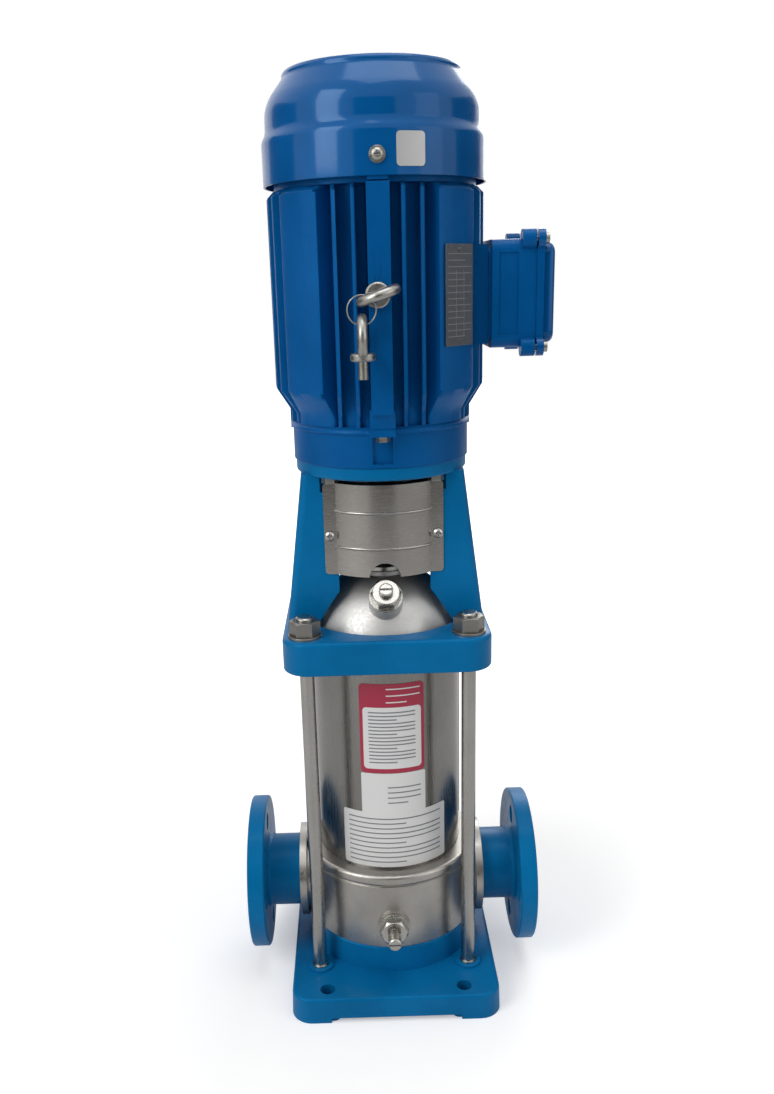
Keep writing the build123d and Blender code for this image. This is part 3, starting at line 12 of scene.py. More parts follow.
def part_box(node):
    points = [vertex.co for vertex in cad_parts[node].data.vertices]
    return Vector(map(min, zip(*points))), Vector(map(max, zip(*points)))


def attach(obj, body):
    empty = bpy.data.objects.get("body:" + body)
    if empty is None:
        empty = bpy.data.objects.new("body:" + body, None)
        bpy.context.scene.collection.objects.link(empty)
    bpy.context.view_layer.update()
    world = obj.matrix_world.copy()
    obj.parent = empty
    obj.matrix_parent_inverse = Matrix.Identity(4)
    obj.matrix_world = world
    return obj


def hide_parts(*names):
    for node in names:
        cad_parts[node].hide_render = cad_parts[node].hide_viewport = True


bl_info = {
    "name": "Vertical multistage pump",
    "version": (1, 0, 0),
    "blender": (4, 5, 0),
    "location": "View3D > Sidebar > Pump",
    "description": "Paint, metal finishes, stickers, threads and a studio for a vertical multistage pump",
    "category": "Object",
}

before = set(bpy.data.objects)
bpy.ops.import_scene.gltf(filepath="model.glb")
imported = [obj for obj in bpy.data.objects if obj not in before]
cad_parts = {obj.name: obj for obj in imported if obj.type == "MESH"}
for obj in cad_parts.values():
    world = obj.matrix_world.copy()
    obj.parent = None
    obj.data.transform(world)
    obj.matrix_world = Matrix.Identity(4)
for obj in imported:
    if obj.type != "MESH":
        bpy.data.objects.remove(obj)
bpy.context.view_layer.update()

MM = 0.001

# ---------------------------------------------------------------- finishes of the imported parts
NODE_FINISH = {
    "motor_enamel": ["lower_end_shield", "stator_frame", "upper_end_shield", "terminal_box",
                     "terminal_gasket"],
    "cowl_enamel": ["fan_cowl", "terminal_box_lid"],
    "pump_enamel": ["base_plate", "suction_flange", "discharge_flange", "motor_stool"],
    "sleeve_steel": ["outer_sleeve", "stage_chambers", "impellers", "discharge_chamber", "stack_straps",
                     "suction_interconnector"],
    "guard_steel": ["front_guard", "rear_guard"],
    "cast_steel": ["base_casing"],
    "dome_steel": ["pump_head"],
    "turned_steel": ["drain_plug", "drain_spindle", "priming_plug", "vent_spindle", "seal_seat",
                     "seal_rotary_head", "bearing_outer_rings", "bearing_inner_rings", "bearing_balls",
                     "motor_shaft", "pump_shaft", "impeller_spacers", "shaft_nut", "guard_screws"],
    "nut_steel": ["tie_rod_nuts", "tie_rod_washers"],
    "zinc": ["motor_flange_bolts", "coupling_screws", "coupling_pin", "shield_screws", "fan_clip",
             "cowl_screws", "lid_screws", "lifting_eye", "spare_eye", "wire_ring"],
    "rod_steel": ["tie_rods"],
    "dark_iron": ["coupling_half_front", "coupling_half_rear"],
    "lamination": ["stator_core"],
    "copper": ["stator_windings"],
    "aluminium": ["rotor_core"],
    "plate_metal": ["nameplate"],
    "rubber": ["sleeve_seals"],
    "black_plastic": ["cooling_fan", "terminal_block", "cable_gland", "blanking_plug"],
}

# Cast pieces show the sand's grain through the enamel, and sheet pieces don't. Either kind drifts between
# a darker and a lighter cloud of its colour.
CAST_ENAMEL = {"coat": 0.06, "coat_roughness": 0.18, "roughness": (0.32, 0.46),
               "grain": 420, "bump": 0.35, "depth": 0.6 * MM}
SHEET_ENAMEL = {"coat": 0.35, "coat_roughness": 0.1, "roughness": (0.2, 0.28),
                "grain": 120, "bump": 0.06, "depth": 0.3 * MM}
ENAMEL_DARKER = 0.86
ENAMEL_LIGHTER = 1.12
ENAMEL_LIFT = 0.002
ENAMEL_SPECULAR = 0.3
ENAMEL_SPECULAR_TINT = (0.05, 0.42, 1.0, 1.0)
STEEL_BUMP_DEPTH = 0.3 * MM

# Shares of a finish's roughness between which it drifts.
STEEL_ROUGHNESS_SPREAD = (0.8, 1.25)
PLAIN_ROUGHNESS_SPREAD = (0.9, 1.1)

# Most of a noise texture's output lies between these two values.
NOISE_LOW = 0.3
NOISE_HIGH = 0.7
EDGE_SAMPLES = 4

# ---------------------------------------------------------------- stickers and nameplate
# Name, finish, first and last angle from the front, lowest and highest edge above the foot of the part
# that the sticker is on, corner radius and lift.
SLEEVE_STICKERS = [
    ("label_border", "label_red", -22.5, 27.5, 111.0, 200.0, 4.0, 0.0),
    ("label_panel", "label_white", -19.8, 24.8, 115.5, 177.0, 3.5, 0.2),
    ("label_lower", "label_white", -22.5, 28.0, 69.0, 110.5, 1.5, 0.0),
    ("label_wide", "label_white", -39.0, 47.5, 11.5, 69.5, 2.5, 0.1),
]
COWL_STICKER = ("cowl_sticker", "label_silver", 9.0, 23.0, 6.0, 30.5, 3.0, 0.0)

# Name, finish, first and last angle, lowest and highest line above the sleeve's foot, number of lines
# and lift.
RULED_LINES = [
    ("label_border_rule", "label_white", -2.0, 24.0, 182.0, 195.0, 3, 0.2),
    ("label_panel_rule", "label_ink", -15.5, 20.0, 122.0, 172.0, 15, 0.4),
    ("label_lower_rule", "label_ink", -2.0, 24.0, 80.0, 96.0, 4, 0.2),
    ("label_wide_rule", "label_ink", -34.0, 42.0, 17.0, 63.0, 10, 0.3),
]
RULE_HEIGHT = 1.1
RULE_CORNER = 0.1
SHORT_LINE_EVERY = 4
SHORT_LINE_SHARE = 0.6
STRIP_WIDTH = 3.0
FEWEST_STRIPS = 4

# The nameplate's lines. A row's span is a share of the plate's half width, a short row's is a share of that
# again, and a column's place is a share of it from the middle. The lines stand proud of the plate's middle.
PLATE_TURN = math.radians(45)
PLATE_PROUD = 0.45
PLATE_ROWS = 14
PLATE_ROW_SPAN = 0.86
PLATE_SHORT_ROW_EVERY = 3
PLATE_SHORT_ROW_SPAN = 0.45
PLATE_MARGIN = 7.5
PLATE_COLUMNS = (-0.3, 0.35)
PLATE_COLUMN_TOP_MARGIN = 20.0
PLATE_ROW_HALF = 0.35
PLATE_ROW_DEPTH = 0.12
PLATE_COLUMN_HALF = 0.25
PLATE_COLUMN_DEPTH = 0.11

# ---------------------------------------------------------------- fan cowl
# Radius and height above the cowl's foot of each corner of its outline, and then the number of each
# rounded corner with its radius.
COWL_CORNERS = [(93.5, 0.0), (93.5, 34.0), (90.0, 40.5), (89.6, 62.0), (74.4, 81.5), (74.4, 84.5),
                (72.6, 87.0), (69.5, 87.0)]
COWL_ROUNDING = [(1, 2.5), (2, 3.0), (3, 9.0), (4, 1.5), (5, 0.8), (6, 1.0)]
COWL_WALL = 1.6
COWL_MERGE_DISTANCE = 0.01
GRILLE_RINGS = [(22.0, 26.5), (33.0, 37.5), (44.0, 48.5), (55.0, 59.5), (66.0, 70.0)]
GRILLE_HUB = 15.5
GRILLE_SPOKES = 8
GRILLE_SPOKE_WIDTH = 6.0
GRILLE_SPOKE_LAP = 1.0
GRILLE_SPOKE_RECESS = 0.05

# ---------------------------------------------------------------- motor's lower end
# The side ears that are cut off, and the pockets under them that are filled. Heights are from the seam
# between the end shield and the frame, and angles from the +X axis.
EAR_OUTER = 96.0
EAR_HALF_ANGLE = 9.0
EAR_HEIGHTS = (-7.5, 15.5)
LIP_RADIUS = 79.9
POCKET_INNER = 60.0
POCKET_HALF_ANGLE = 7.0
POCKET_HEIGHTS = (-32.5, -6.3)
SHIELD_RADIUS = 77.9
SIDES = (0.0, 180.0)
SIDE_SCREWS_BEYOND = 40.0
CAST_SMOOTH_ANGLE = 28
CAST_NORMAL_WEIGHT = 90
MERGE_DISTANCE = 0.001

# ---------------------------------------------------------------- threads
# A ridge starts below the shank's surface and stands above it. Its half width is a share of the pitch.
ROD_THREAD_RADIUS = 7.8
ROD_THREAD_TOP_MARGIN = 1.2
EYE_SHANK_RADIUS = 3.95
EYE_SHANK_LENGTH = 14.0
EYE_THREAD_PITCH = 1.25
EYE_THREAD_TIP_MARGIN = 0.5
EYE_THREAD_HEAD_MARGIN = 1.5
THREAD_ROOT = 0.2
THREAD_CREST = 0.18
THREAD_FLANK_SHARE = 0.35

# ---------------------------------------------------------------- studio, in metres
WORLD_LEVEL = 0.34
FLOOR_REACH = 6
FLOOR_ROUGHNESS = 0.9
FLOOR_SPECULAR = 0.1
# The floor's glow to the camera, near the pump and far from it, and the distances between which it grows.
FLOOR_GLOW_NEAR = 0.34
FLOOR_GLOW_FAR = 1.0
FLOOR_FADE_START = 0.25
FLOOR_FADE_END = 1.3

# Name, place, aim, width, height and power of each lamp.
LAMPS = [
    ("key", (-1.6, -1.4, 1.7), (0, 0, 0.45), 1.0, 1.6, 25),
    ("fill", (1.8, -1.2, 1.2), (0, 0, 0.45), 1.0, 1.4, 4),
    ("top", (0.2, -0.3, 2.4), (0, 0, 0.5), 1.4, 1.0, 11),
    ("rim", (0.6, 1.9, 1.4), (0, 0, 0.5), 1.4, 1.2, 16),
]

# Name, place, aim, width and height of each dark card.
CARDS = [
    ("front_card", (0.0, -2.2, 0.5), (0, 0, 0.5), 1.7, 2.4),
    ("left_card", (-1.5, 0.5, 0.6), (0, 0, 0.6), 1.3, 1.6),
    ("right_card", (1.5, 0.5, 0.6), (0, 0, 0.6), 1.3, 1.6),
]
CARD_COLOUR = (0.02, 0.02, 0.02)

CAMERA_PLACE = (-23.0 * MM, -907.6 * MM, 670.7 * MM)
CAMERA_PITCH = math.radians(-17.17)
CAMERA_YAW = math.radians(0.12)
CAMERA_ROLL = math.radians(-1.72)
CAMERA_LENS = 33.0
CAMERA_SENSOR = 36
CAMERA_SHIFT = (0.0232, 0.0380)
CAMERA_CLIP = 50


# ---------------------------------------------------------------- sizes and colours to change
class PumpSizes(bpy.types.PropertyGroup):
    """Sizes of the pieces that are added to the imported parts"""

    sticker_thickness: bpy.props.FloatProperty(
        name="Sticker thickness", description="Thickness of the stickers' film",
        default=0.2 * MM, min=0.05 * MM, max=1 * MM, subtype="DISTANCE", unit="LENGTH", precision=5)
    thread_pitch: bpy.props.FloatProperty(
        name="Thread pitch", description="Distance between the ridges of the tie rods' threads",
        default=1 * MM, min=0.5 * MM, max=2 * MM, subtype="DISTANCE", unit="LENGTH", precision=5)
    edge_radius: bpy.props.FloatProperty(
        name="Edge radius", description="Rounding of the machined and cast edges",
        default=0.9 * MM, min=0.1 * MM, max=3 * MM, subtype="DISTANCE", unit="LENGTH", precision=5)


class PumpColours(bpy.types.PropertyGroup):
    """Colours of the enamel, the stickers and the studio"""

    motor_blue: bpy.props.FloatVectorProperty(
        name="Motor blue", description="Enamel on the motor, its cowl and its terminal box",
        default=(0.0002, 0.09, 0.3), min=0, max=1, subtype="COLOR")
    pump_blue: bpy.props.FloatVectorProperty(
        name="Pump blue", description="Enamel on the foot, the flanges and the stool",
        default=(0.0005, 0.15, 0.37), min=0, max=1, subtype="COLOR")
    label_red: bpy.props.FloatVectorProperty(
        name="Label red", description="The printed border of the upper sticker",
        default=(0.42, 0.02, 0.06), min=0, max=1, subtype="COLOR")
    label_white: bpy.props.FloatVectorProperty(
        name="Label white", description="The stickers' white film",
        default=(0.78, 0.78, 0.77), min=0, max=1, subtype="COLOR")
    label_ink: bpy.props.FloatVectorProperty(
        name="Label ink", description="The plain ruled lines on the stickers and the nameplate",
        default=(0.22, 0.22, 0.24), min=0, max=1, subtype="COLOR")
    label_silver: bpy.props.FloatVectorProperty(
        name="Label silver", description="The sticker on the fan cowl",
        default=(0.5, 0.5, 0.5), min=0, max=1, subtype="COLOR")
    floor: bpy.props.FloatVectorProperty(
        name="Floor", description="Floor and backdrop of the studio",
        default=(0.86, 0.86, 0.86), min=0, max=1, subtype="COLOR")


def sizes():
    """The scene's pump sizes."""
    return bpy.context.scene.pump_sizes


def colours():
    """The scene's pump colours."""
    return bpy.context.scene.pump_colours


# ---------------------------------------------------------------- materials
def new_material(name):
    """A new material, its node tree and its Principled shader."""
    material = bpy.data.materials.new(name)
    material.use_nodes = True
    return material, material.node_tree, material.node_tree.nodes["Principled BSDF"]


def object_noise(tree, scale, detail=3.0, stretch=(1, 1, 1)):
    """Noise on the object's own coordinates."""
    place = tree.nodes.new("ShaderNodeTexCoord")
    mapping = tree.nodes.new("ShaderNodeMapping")
    mapping.inputs["Scale"].default_value = stretch
    noise = tree.nodes.new("ShaderNodeTexNoise")
    noise.inputs["Scale"].default_value = scale
    noise.inputs["Detail"].default_value = detail
    tree.links.new(place.outputs["Object"], mapping.inputs["Vector"])
    tree.links.new(mapping.outputs["Vector"], noise.inputs["Vector"])
    return noise


def ramp(tree, source, low, high):
    """Maps a noise's usual output to the range from low to high."""
    node = tree.nodes.new("ShaderNodeMapRange")
    node.inputs["From Min"].default_value = NOISE_LOW
    node.inputs["From Max"].default_value = NOISE_HIGH
    node.inputs["To Min"].default_value = low
    node.inputs["To Max"].default_value = high
    tree.links.new(source, node.inputs["Value"])
    return node.outputs["Result"]


def mix_colours(tree, factor, first, second):
    """Blends two colours by a factor."""
    node = tree.nodes.new("ShaderNodeMix")
    node.data_type = "RGBA"
    node.inputs["A"].default_value = (*first, 1)
    node.inputs["B"].default_value = (*second, 1)
    tree.links.new(factor, node.inputs["Factor"])
    return node.outputs["Result"]


def add_bump(tree, shader, height, strength, distance, edge_share=1.0):
    """Raises a surface by a height pattern, over edges rounded by a share of the edge radius."""
    edge = tree.nodes.new("ShaderNodeBevel")
    edge.samples = EDGE_SAMPLES
    edge.inputs["Radius"].default_value = sizes().edge_radius * edge_share
    bump = tree.nodes.new("ShaderNodeBump")
    tree.links.new(edge.outputs["Normal"], bump.inputs["Normal"])
    bump.inputs["Strength"].default_value = strength
    bump.inputs["Distance"].default_value = distance
    tree.links.new(height, bump.inputs["Height"])
    tree.links.new(bump.outputs["Normal"], shader.inputs["Normal"])


def enamel(name, colour, kind):
    """Gloss enamel of the cast or the sheet kind."""
    material, tree, shader = new_material(name)
    cloud = object_noise(tree, scale=14, detail=4)
    deep = tuple(channel * ENAMEL_DARKER for channel in colour)
    light = tuple(min(1, channel * ENAMEL_LIGHTER + ENAMEL_LIFT) for channel in colour)
    tint = mix_colours(tree, ramp(tree, cloud.outputs["Fac"], 0, 1), deep, light)
    tree.links.new(tint, shader.inputs["Base Color"])
    shader.inputs["Specular IOR Level"].default_value = ENAMEL_SPECULAR
    shader.inputs["Specular Tint"].default_value = ENAMEL_SPECULAR_TINT
    shader.inputs["Coat Weight"].default_value = kind["coat"]
    shader.inputs["Coat Roughness"].default_value = kind["coat_roughness"]
    rough = object_noise(tree, scale=60)
    tree.links.new(ramp(tree, rough.outputs["Fac"], *kind["roughness"]), shader.inputs["Roughness"])
    grain = object_noise(tree, scale=kind["grain"], detail=4)
    add_bump(tree, shader, grain.outputs["Fac"], kind["bump"], kind["depth"])
    return material


def steel(name, colour, roughness, grain=(1, 1, 1), scale=300, bump=0.05, mottled=0.12, metallic=1.0,
          edge_share=1.0):
    """Bare metal with a fine grain, stretched where it is brushed or turned."""
    material, tree, shader = new_material(name)
    shader.inputs["Metallic"].default_value = metallic
    patch = object_noise(tree, scale=22, detail=5)
    dull = tuple(channel * (1 - mottled) for channel in colour)
    tint = mix_colours(tree, ramp(tree, patch.outputs["Fac"], 0, 1), dull, colour)
    tree.links.new(tint, shader.inputs["Base Color"])
    streak = object_noise(tree, scale=scale, stretch=grain)
    level = ramp(tree, streak.outputs["Fac"], *[roughness * share for share in STEEL_ROUGHNESS_SPREAD])
    tree.links.new(level, shader.inputs["Roughness"])
    add_bump(tree, shader, streak.outputs["Fac"], bump, STEEL_BUMP_DEPTH, edge_share)
    return material


def plain(name, colour, roughness, metallic=0.0):
    """Rubber, plastic, film and varnish."""
    material, tree, shader = new_material(name)
    shader.inputs["Base Color"].default_value = (*colour, 1)
    shader.inputs["Metallic"].default_value = metallic
    speck = object_noise(tree, scale=260, detail=2)
    level = ramp(tree, speck.outputs["Fac"], *[roughness * share for share in PLAIN_ROUGHNESS_SPREAD])
    tree.links.new(level, shader.inputs["Roughness"])
    return material


FINISHES = {}


def make_finishes():
    """Every finish on the pump, by name."""
    shade = colours()
    FINISHES.update({
        "motor_enamel": enamel("motor_enamel", shade.motor_blue, CAST_ENAMEL),
        "cowl_enamel": enamel("cowl_enamel", shade.motor_blue, SHEET_ENAMEL),
        "pump_enamel": enamel("pump_enamel", shade.pump_blue, CAST_ENAMEL),
        "sleeve_steel": steel("sleeve_steel", (0.25, 0.242, 0.228), 0.27, grain=(1, 1, 0.03), scale=700,
                              bump=0.03),
        "guard_steel": steel("guard_steel", (0.36, 0.345, 0.32), 0.24, grain=(0.1, 0.1, 1), scale=900,
                             bump=0.0, edge_share=0.3),
        "cast_steel": steel("cast_steel", (0.46, 0.44, 0.41), 0.34, scale=420, bump=0.12, mottled=0.24),
        "dome_steel": steel("dome_steel", (0.68, 0.67, 0.645), 0.48, scale=420, bump=0.1, mottled=0.24,
                            metallic=0.72),
        "turned_steel": steel("turned_steel", (0.46, 0.45, 0.42), 0.26, grain=(1, 1, 4), scale=500),
        "zinc": steel("zinc", (0.4, 0.39, 0.36), 0.34, scale=260, bump=0.06, mottled=0.2),
        "nut_steel": steel("nut_steel", (0.27, 0.26, 0.24), 0.36, scale=260, bump=0.06, mottled=0.2),
        "rod_steel": steel("rod_steel", (0.38, 0.37, 0.35), 0.26, grain=(1, 1, 0.1), scale=500, bump=0.03),
        "dark_iron": steel("dark_iron", (0.09, 0.09, 0.1), 0.5, scale=400, bump=0.2, metallic=0.6),
        "lamination": steel("lamination", (0.2, 0.21, 0.23), 0.5, grain=(0.05, 0.05, 6), scale=900,
                            bump=0.1),
        "copper": plain("copper", (0.5, 0.17, 0.06), 0.35, metallic=0.8),
        "aluminium": steel("aluminium", (0.6, 0.61, 0.62), 0.4, bump=0.08),
        "plate_metal": steel("plate_metal", (0.17, 0.18, 0.19), 0.42, scale=500, bump=0.03, mottled=0.08),
        "rubber": plain("rubber", (0.02, 0.02, 0.02), 0.7),
        "black_plastic": plain("black_plastic", (0.025, 0.025, 0.027), 0.45),
        "label_red": plain("label_red", shade.label_red, 0.35),
        "label_white": plain("label_white", shade.label_white, 0.38),
        "label_ink": plain("label_ink", shade.label_ink, 0.5),
        "label_silver": plain("label_silver", shade.label_silver, 0.4, metallic=0.3),
    })


# ---------------------------------------------------------------- mesh helpers
def to_mm(metres):
    """A measure of the frame in millimetres, to a thousandth."""
    return round(metres / MM, 3)


def to_object(shape, name):
    """Turns a bmesh into an object at the origin."""
    mesh = bpy.data.meshes.new(name)
    shape.to_mesh(mesh)
    shape.free()
    made = bpy.data.objects.new(name, mesh)
    bpy.context.scene.collection.objects.link(made)
    return made


def smooth_below(mesh, degrees):
    """Shades a mesh smooth but for edges sharper than an angle."""
    mesh.shade_smooth()
    mesh.set_sharp_from_angle(angle=math.radians(degrees))


def finish_mesh(shape, name, finish, body="pump", smooth_angle=None):
    """Turns a bmesh into a piece with a finish that rides on a body."""
    bmesh.ops.recalc_face_normals(shape, faces=shape.faces)
    piece = to_object(shape, name)
    piece.data.materials.append(FINISHES[finish])
    if smooth_angle:
        smooth_below(piece.data, smooth_angle)
    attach(piece, body)
    return piece


def rounded_sheet(shape, width, height, corner):
    """A flat sheet in the XZ plane with round corners, in metres, cut into upright strips that can bend."""
    made = bmesh.ops.create_grid(shape, x_segments=1, y_segments=1, size=0.5)
    bmesh.ops.scale(shape, verts=made["verts"], vec=(width, height, 1))
    upright = Matrix.Rotation(math.pi / 2, 3, "X")
    bmesh.ops.rotate(shape, verts=made["verts"], cent=(0, 0, 0), matrix=upright)
    bmesh.ops.bevel(shape, geom=shape.verts[:], affect="VERTICES", offset=corner, segments=5, profile=0.5,
                    material=-1)
    strips = max(FEWEST_STRIPS, int(width / (STRIP_WIDTH * MM)))
    for strip in range(1, strips):
        place = width * (strip / strips - 0.5)
        everything = shape.verts[:] + shape.edges[:] + shape.faces[:]
        bmesh.ops.bisect_plane(shape, geom=everything, plane_co=(place, 0, 0), plane_no=(1, 0, 0))


def wrap_round(shape, radius, turn, height):
    """Bends a flat sheet round the pump's axis, with its middle at an angle from the front and a height."""
    for vertex in shape.verts:
        angle = turn + vertex.co.x / radius
        vertex.co = Vector((radius * math.sin(angle), -radius * math.cos(angle), height + vertex.co.z))


def film_sticker(name, finish, radius, start, end, low, high, corner, lift):
    """A thin film on a cylinder, its radius in metres, between two angles and two heights."""
    shape = bmesh.new()
    outer = radius + lift * MM + sizes().sticker_thickness
    turn = math.radians((start + end) / 2)
    rounded_sheet(shape, outer * math.radians(end - start), (high - low) * MM, corner * MM)
    wrap_round(shape, outer, turn, (low + high) / 2 * MM)
    shape.normal_update()
    middle = Vector((math.sin(turn), -math.cos(turn), 0))
    if sum(face.normal.dot(middle) for face in shape.faces) < 0:
        bmesh.ops.reverse_faces(shape, faces=shape.faces[:])
    bmesh.ops.solidify(shape, geom=shape.faces[:], thickness=-sizes().sticker_thickness)
    finish_mesh(shape, name, finish, smooth_angle=30)


def spun(shape, profile, steps):
    """Turns a profile in the XZ plane a full turn about the Z axis."""
    bmesh.ops.spin(shape, geom=profile, cent=(0, 0, 0), axis=(0, 0, 1), angle=2 * math.pi, steps=steps,
                   use_merge=True)


def profile_line(shape, points, closed=False):
    """Joins corners, each a radius and a height, into a line in the XZ plane."""
    corners = [shape.verts.new((radius * MM, 0, height * MM)) for radius, height in points]
    pairs = list(zip(corners, corners[1:]))
    if closed:
        pairs.append((corners[-1], corners[0]))
    edges = [shape.edges.new(pair) for pair in pairs]
    return corners, edges


def ring_section(shape, inner, outer, low, high):
    """The four-cornered section of a ring, in the XZ plane."""
    return profile_line(shape, [(inner, low), (outer, low), (outer, high), (inner, high)], closed=True)


def turned_ring(shape, inner, outer, low, high):
    """A ring of four-cornered section about the Z axis."""
    corners, edges = ring_section(shape, inner, outer, low, high)
    spun(shape, corners + edges, steps=96)


def add_box(shape, low, high, turn):
    """A box between two corners, turned about the Z axis."""
    middle = [(a + b) / 2 * MM for a, b in zip(low, high)]
    size = Matrix.Diagonal([(b - a) * MM for a, b in zip(low, high)] + [1])
    place = Matrix.Rotation(turn, 4, "Z") @ Matrix.Translation(middle) @ size
    bmesh.ops.create_cube(shape, size=1, matrix=place)


# ---------------------------------------------------------------- operators
class PUMP_OT_finish_parts(bpy.types.Operator):
    """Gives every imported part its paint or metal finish"""

    bl_idname = "pump.finish_parts"
    bl_label = "Finish the packed parts"

    def execute(self, context):
        make_finishes()
        done = set()
        for finish, names in NODE_FINISH.items():
            for name in names:
                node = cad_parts[name]
                node.data.materials.clear()
                node.data.materials.append(FINISHES[finish])
                done.add(name)
        missed = set(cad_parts) - done
        if missed:
            raise RuntimeError(f"no finish for {sorted(missed)}")
        return {"FINISHED"}


class PUMP_OT_stickers(bpy.types.Operator):
    """Puts the bare stickers on the sleeve and on the fan cowl"""

    bl_idname = "pump.stickers"
    bl_label = "Stickers"

    def execute(self, context):
        low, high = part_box("outer_sleeve")
        radius = (high.x - low.x) / 2
        foot = to_mm(low.z)
        for name, finish, start, end, bottom, top, corner, lift in SLEEVE_STICKERS:
            film_sticker(name, finish, radius, start, end, foot + bottom, foot + top, corner, lift)
        for name, finish, start, end, first, last, count, lift in RULED_LINES:
            for line in range(count):
                height = foot + first + (last - first) * line / (count - 1)
                reach = end if line % SHORT_LINE_EVERY else start + (end - start) * SHORT_LINE_SHARE
                film_sticker(f"{name}_{line + 1}", finish, radius, start, reach, height - RULE_HEIGHT / 2,
                             height + RULE_HEIGHT / 2, RULE_CORNER, lift)

        low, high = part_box("fan_cowl")
        radius = (high.x - low.x) / 2
        foot = to_mm(low.z)
        name, finish, start, end, bottom, top, corner, lift = COWL_STICKER
        film_sticker(name, finish, radius, start, end, foot + bottom, foot + top, corner, lift)
        return {"FINISHED"}


class PUMP_OT_cowl(bpy.types.Operator):
    """Makes the pressed fan cowl with its rounded shoulder, and the grille in its top"""

    bl_idname = "pump.cowl"
    bl_label = "Fan cowl"

    def execute(self, context):
        foot = to_mm(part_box("fan_cowl")[0].z)
        outline = [(radius, foot + height) for radius, height in COWL_CORNERS]
        top = outline[-1][1]
        shape = bmesh.new()
        corners = profile_line(shape, outline)[0]
        for index, radius in COWL_ROUNDING:
            bmesh.ops.bevel(shape, geom=[corners[index]], affect="VERTICES", offset=radius * MM, segments=4,
                            profile=0.5, material=-1)
        spun(shape, shape.verts[:] + shape.edges[:], steps=128)
        bmesh.ops.remove_doubles(shape, verts=shape.verts[:], dist=COWL_MERGE_DISTANCE * MM)
        bmesh.ops.recalc_face_normals(shape, faces=shape.faces[:])
        shape.normal_update()
        outward = sum(face.normal.dot(Vector((*face.calc_center_median().xy, 0))) for face in shape.faces)
        if outward < 0:
            bmesh.ops.reverse_faces(shape, faces=shape.faces[:])
        bmesh.ops.solidify(shape, geom=shape.faces[:], thickness=COWL_WALL * MM)
        cowl = finish_mesh(shape, "cowl_shell", "cowl_enamel", smooth_angle=40)
        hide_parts("fan_cowl")

        shape = bmesh.new()
        for inner, outer in GRILLE_RINGS:
            turned_ring(shape, inner, outer, top - COWL_WALL, top)
        made = bmesh.ops.create_cone(shape, cap_ends=True, segments=64, radius1=GRILLE_HUB * MM,
                                     radius2=GRILLE_HUB * MM, depth=COWL_WALL * MM)
        bmesh.ops.translate(shape, verts=made["verts"], vec=(0, 0, (top - COWL_WALL / 2) * MM))
        for spoke in range(GRILLE_SPOKES):
            inner_end = (GRILLE_HUB - GRILLE_SPOKE_LAP, -GRILLE_SPOKE_WIDTH / 2,
                         top - COWL_WALL + GRILLE_SPOKE_RECESS)
            outer_end = (GRILLE_RINGS[-1][1] - GRILLE_SPOKE_LAP, GRILLE_SPOKE_WIDTH / 2,
                         top - GRILLE_SPOKE_RECESS)
            add_box(shape, inner_end, outer_end, spoke * math.tau / GRILLE_SPOKES)
        finish_mesh(shape, "cowl_grille", "cowl_enamel", smooth_angle=40)
        return {"FINISHED"}


def ring_sector(inner, outer, heights, middle, half_angle):
    """A closed sector of a ring as an object, its middle at an angle from the +X axis."""
    shape = bmesh.new()
    corners, edges = ring_section(shape, inner, outer, *heights)
    face = shape.faces.new(corners)
    start = Matrix.Rotation(math.radians(middle - half_angle), 3, "Z")
    bmesh.ops.rotate(shape, verts=corners, cent=(0, 0, 0), matrix=start)
    bmesh.ops.spin(shape, geom=corners + edges + [face], cent=(0, 0, 0), axis=(0, 0, 1),
                   angle=math.radians(2 * half_angle), steps=6)
    bmesh.ops.recalc_face_normals(shape, faces=shape.faces[:])
    return to_object(shape, "sector")


def merged_part(node):
    """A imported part's triangles as one joined skin."""
    shape = bmesh.new()
    shape.from_mesh(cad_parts[node].data)
    bmesh.ops.remove_doubles(shape, verts=shape.verts[:], dist=MERGE_DISTANCE * MM)
    return shape


def combine(piece, tool, operation):
    """Cuts a tool from a piece or joins it on, and removes the tool."""
    step = piece.modifiers.new("combine", "BOOLEAN")
    step.operation = operation
    step.solver = "EXACT"
    step.object = tool
    bpy.context.view_layer.update()
    done = bpy.data.meshes.new_from_object(piece.evaluated_get(bpy.context.evaluated_depsgraph_get()))
    piece.modifiers.clear()
    piece.data = done
    bpy.data.objects.remove(tool)


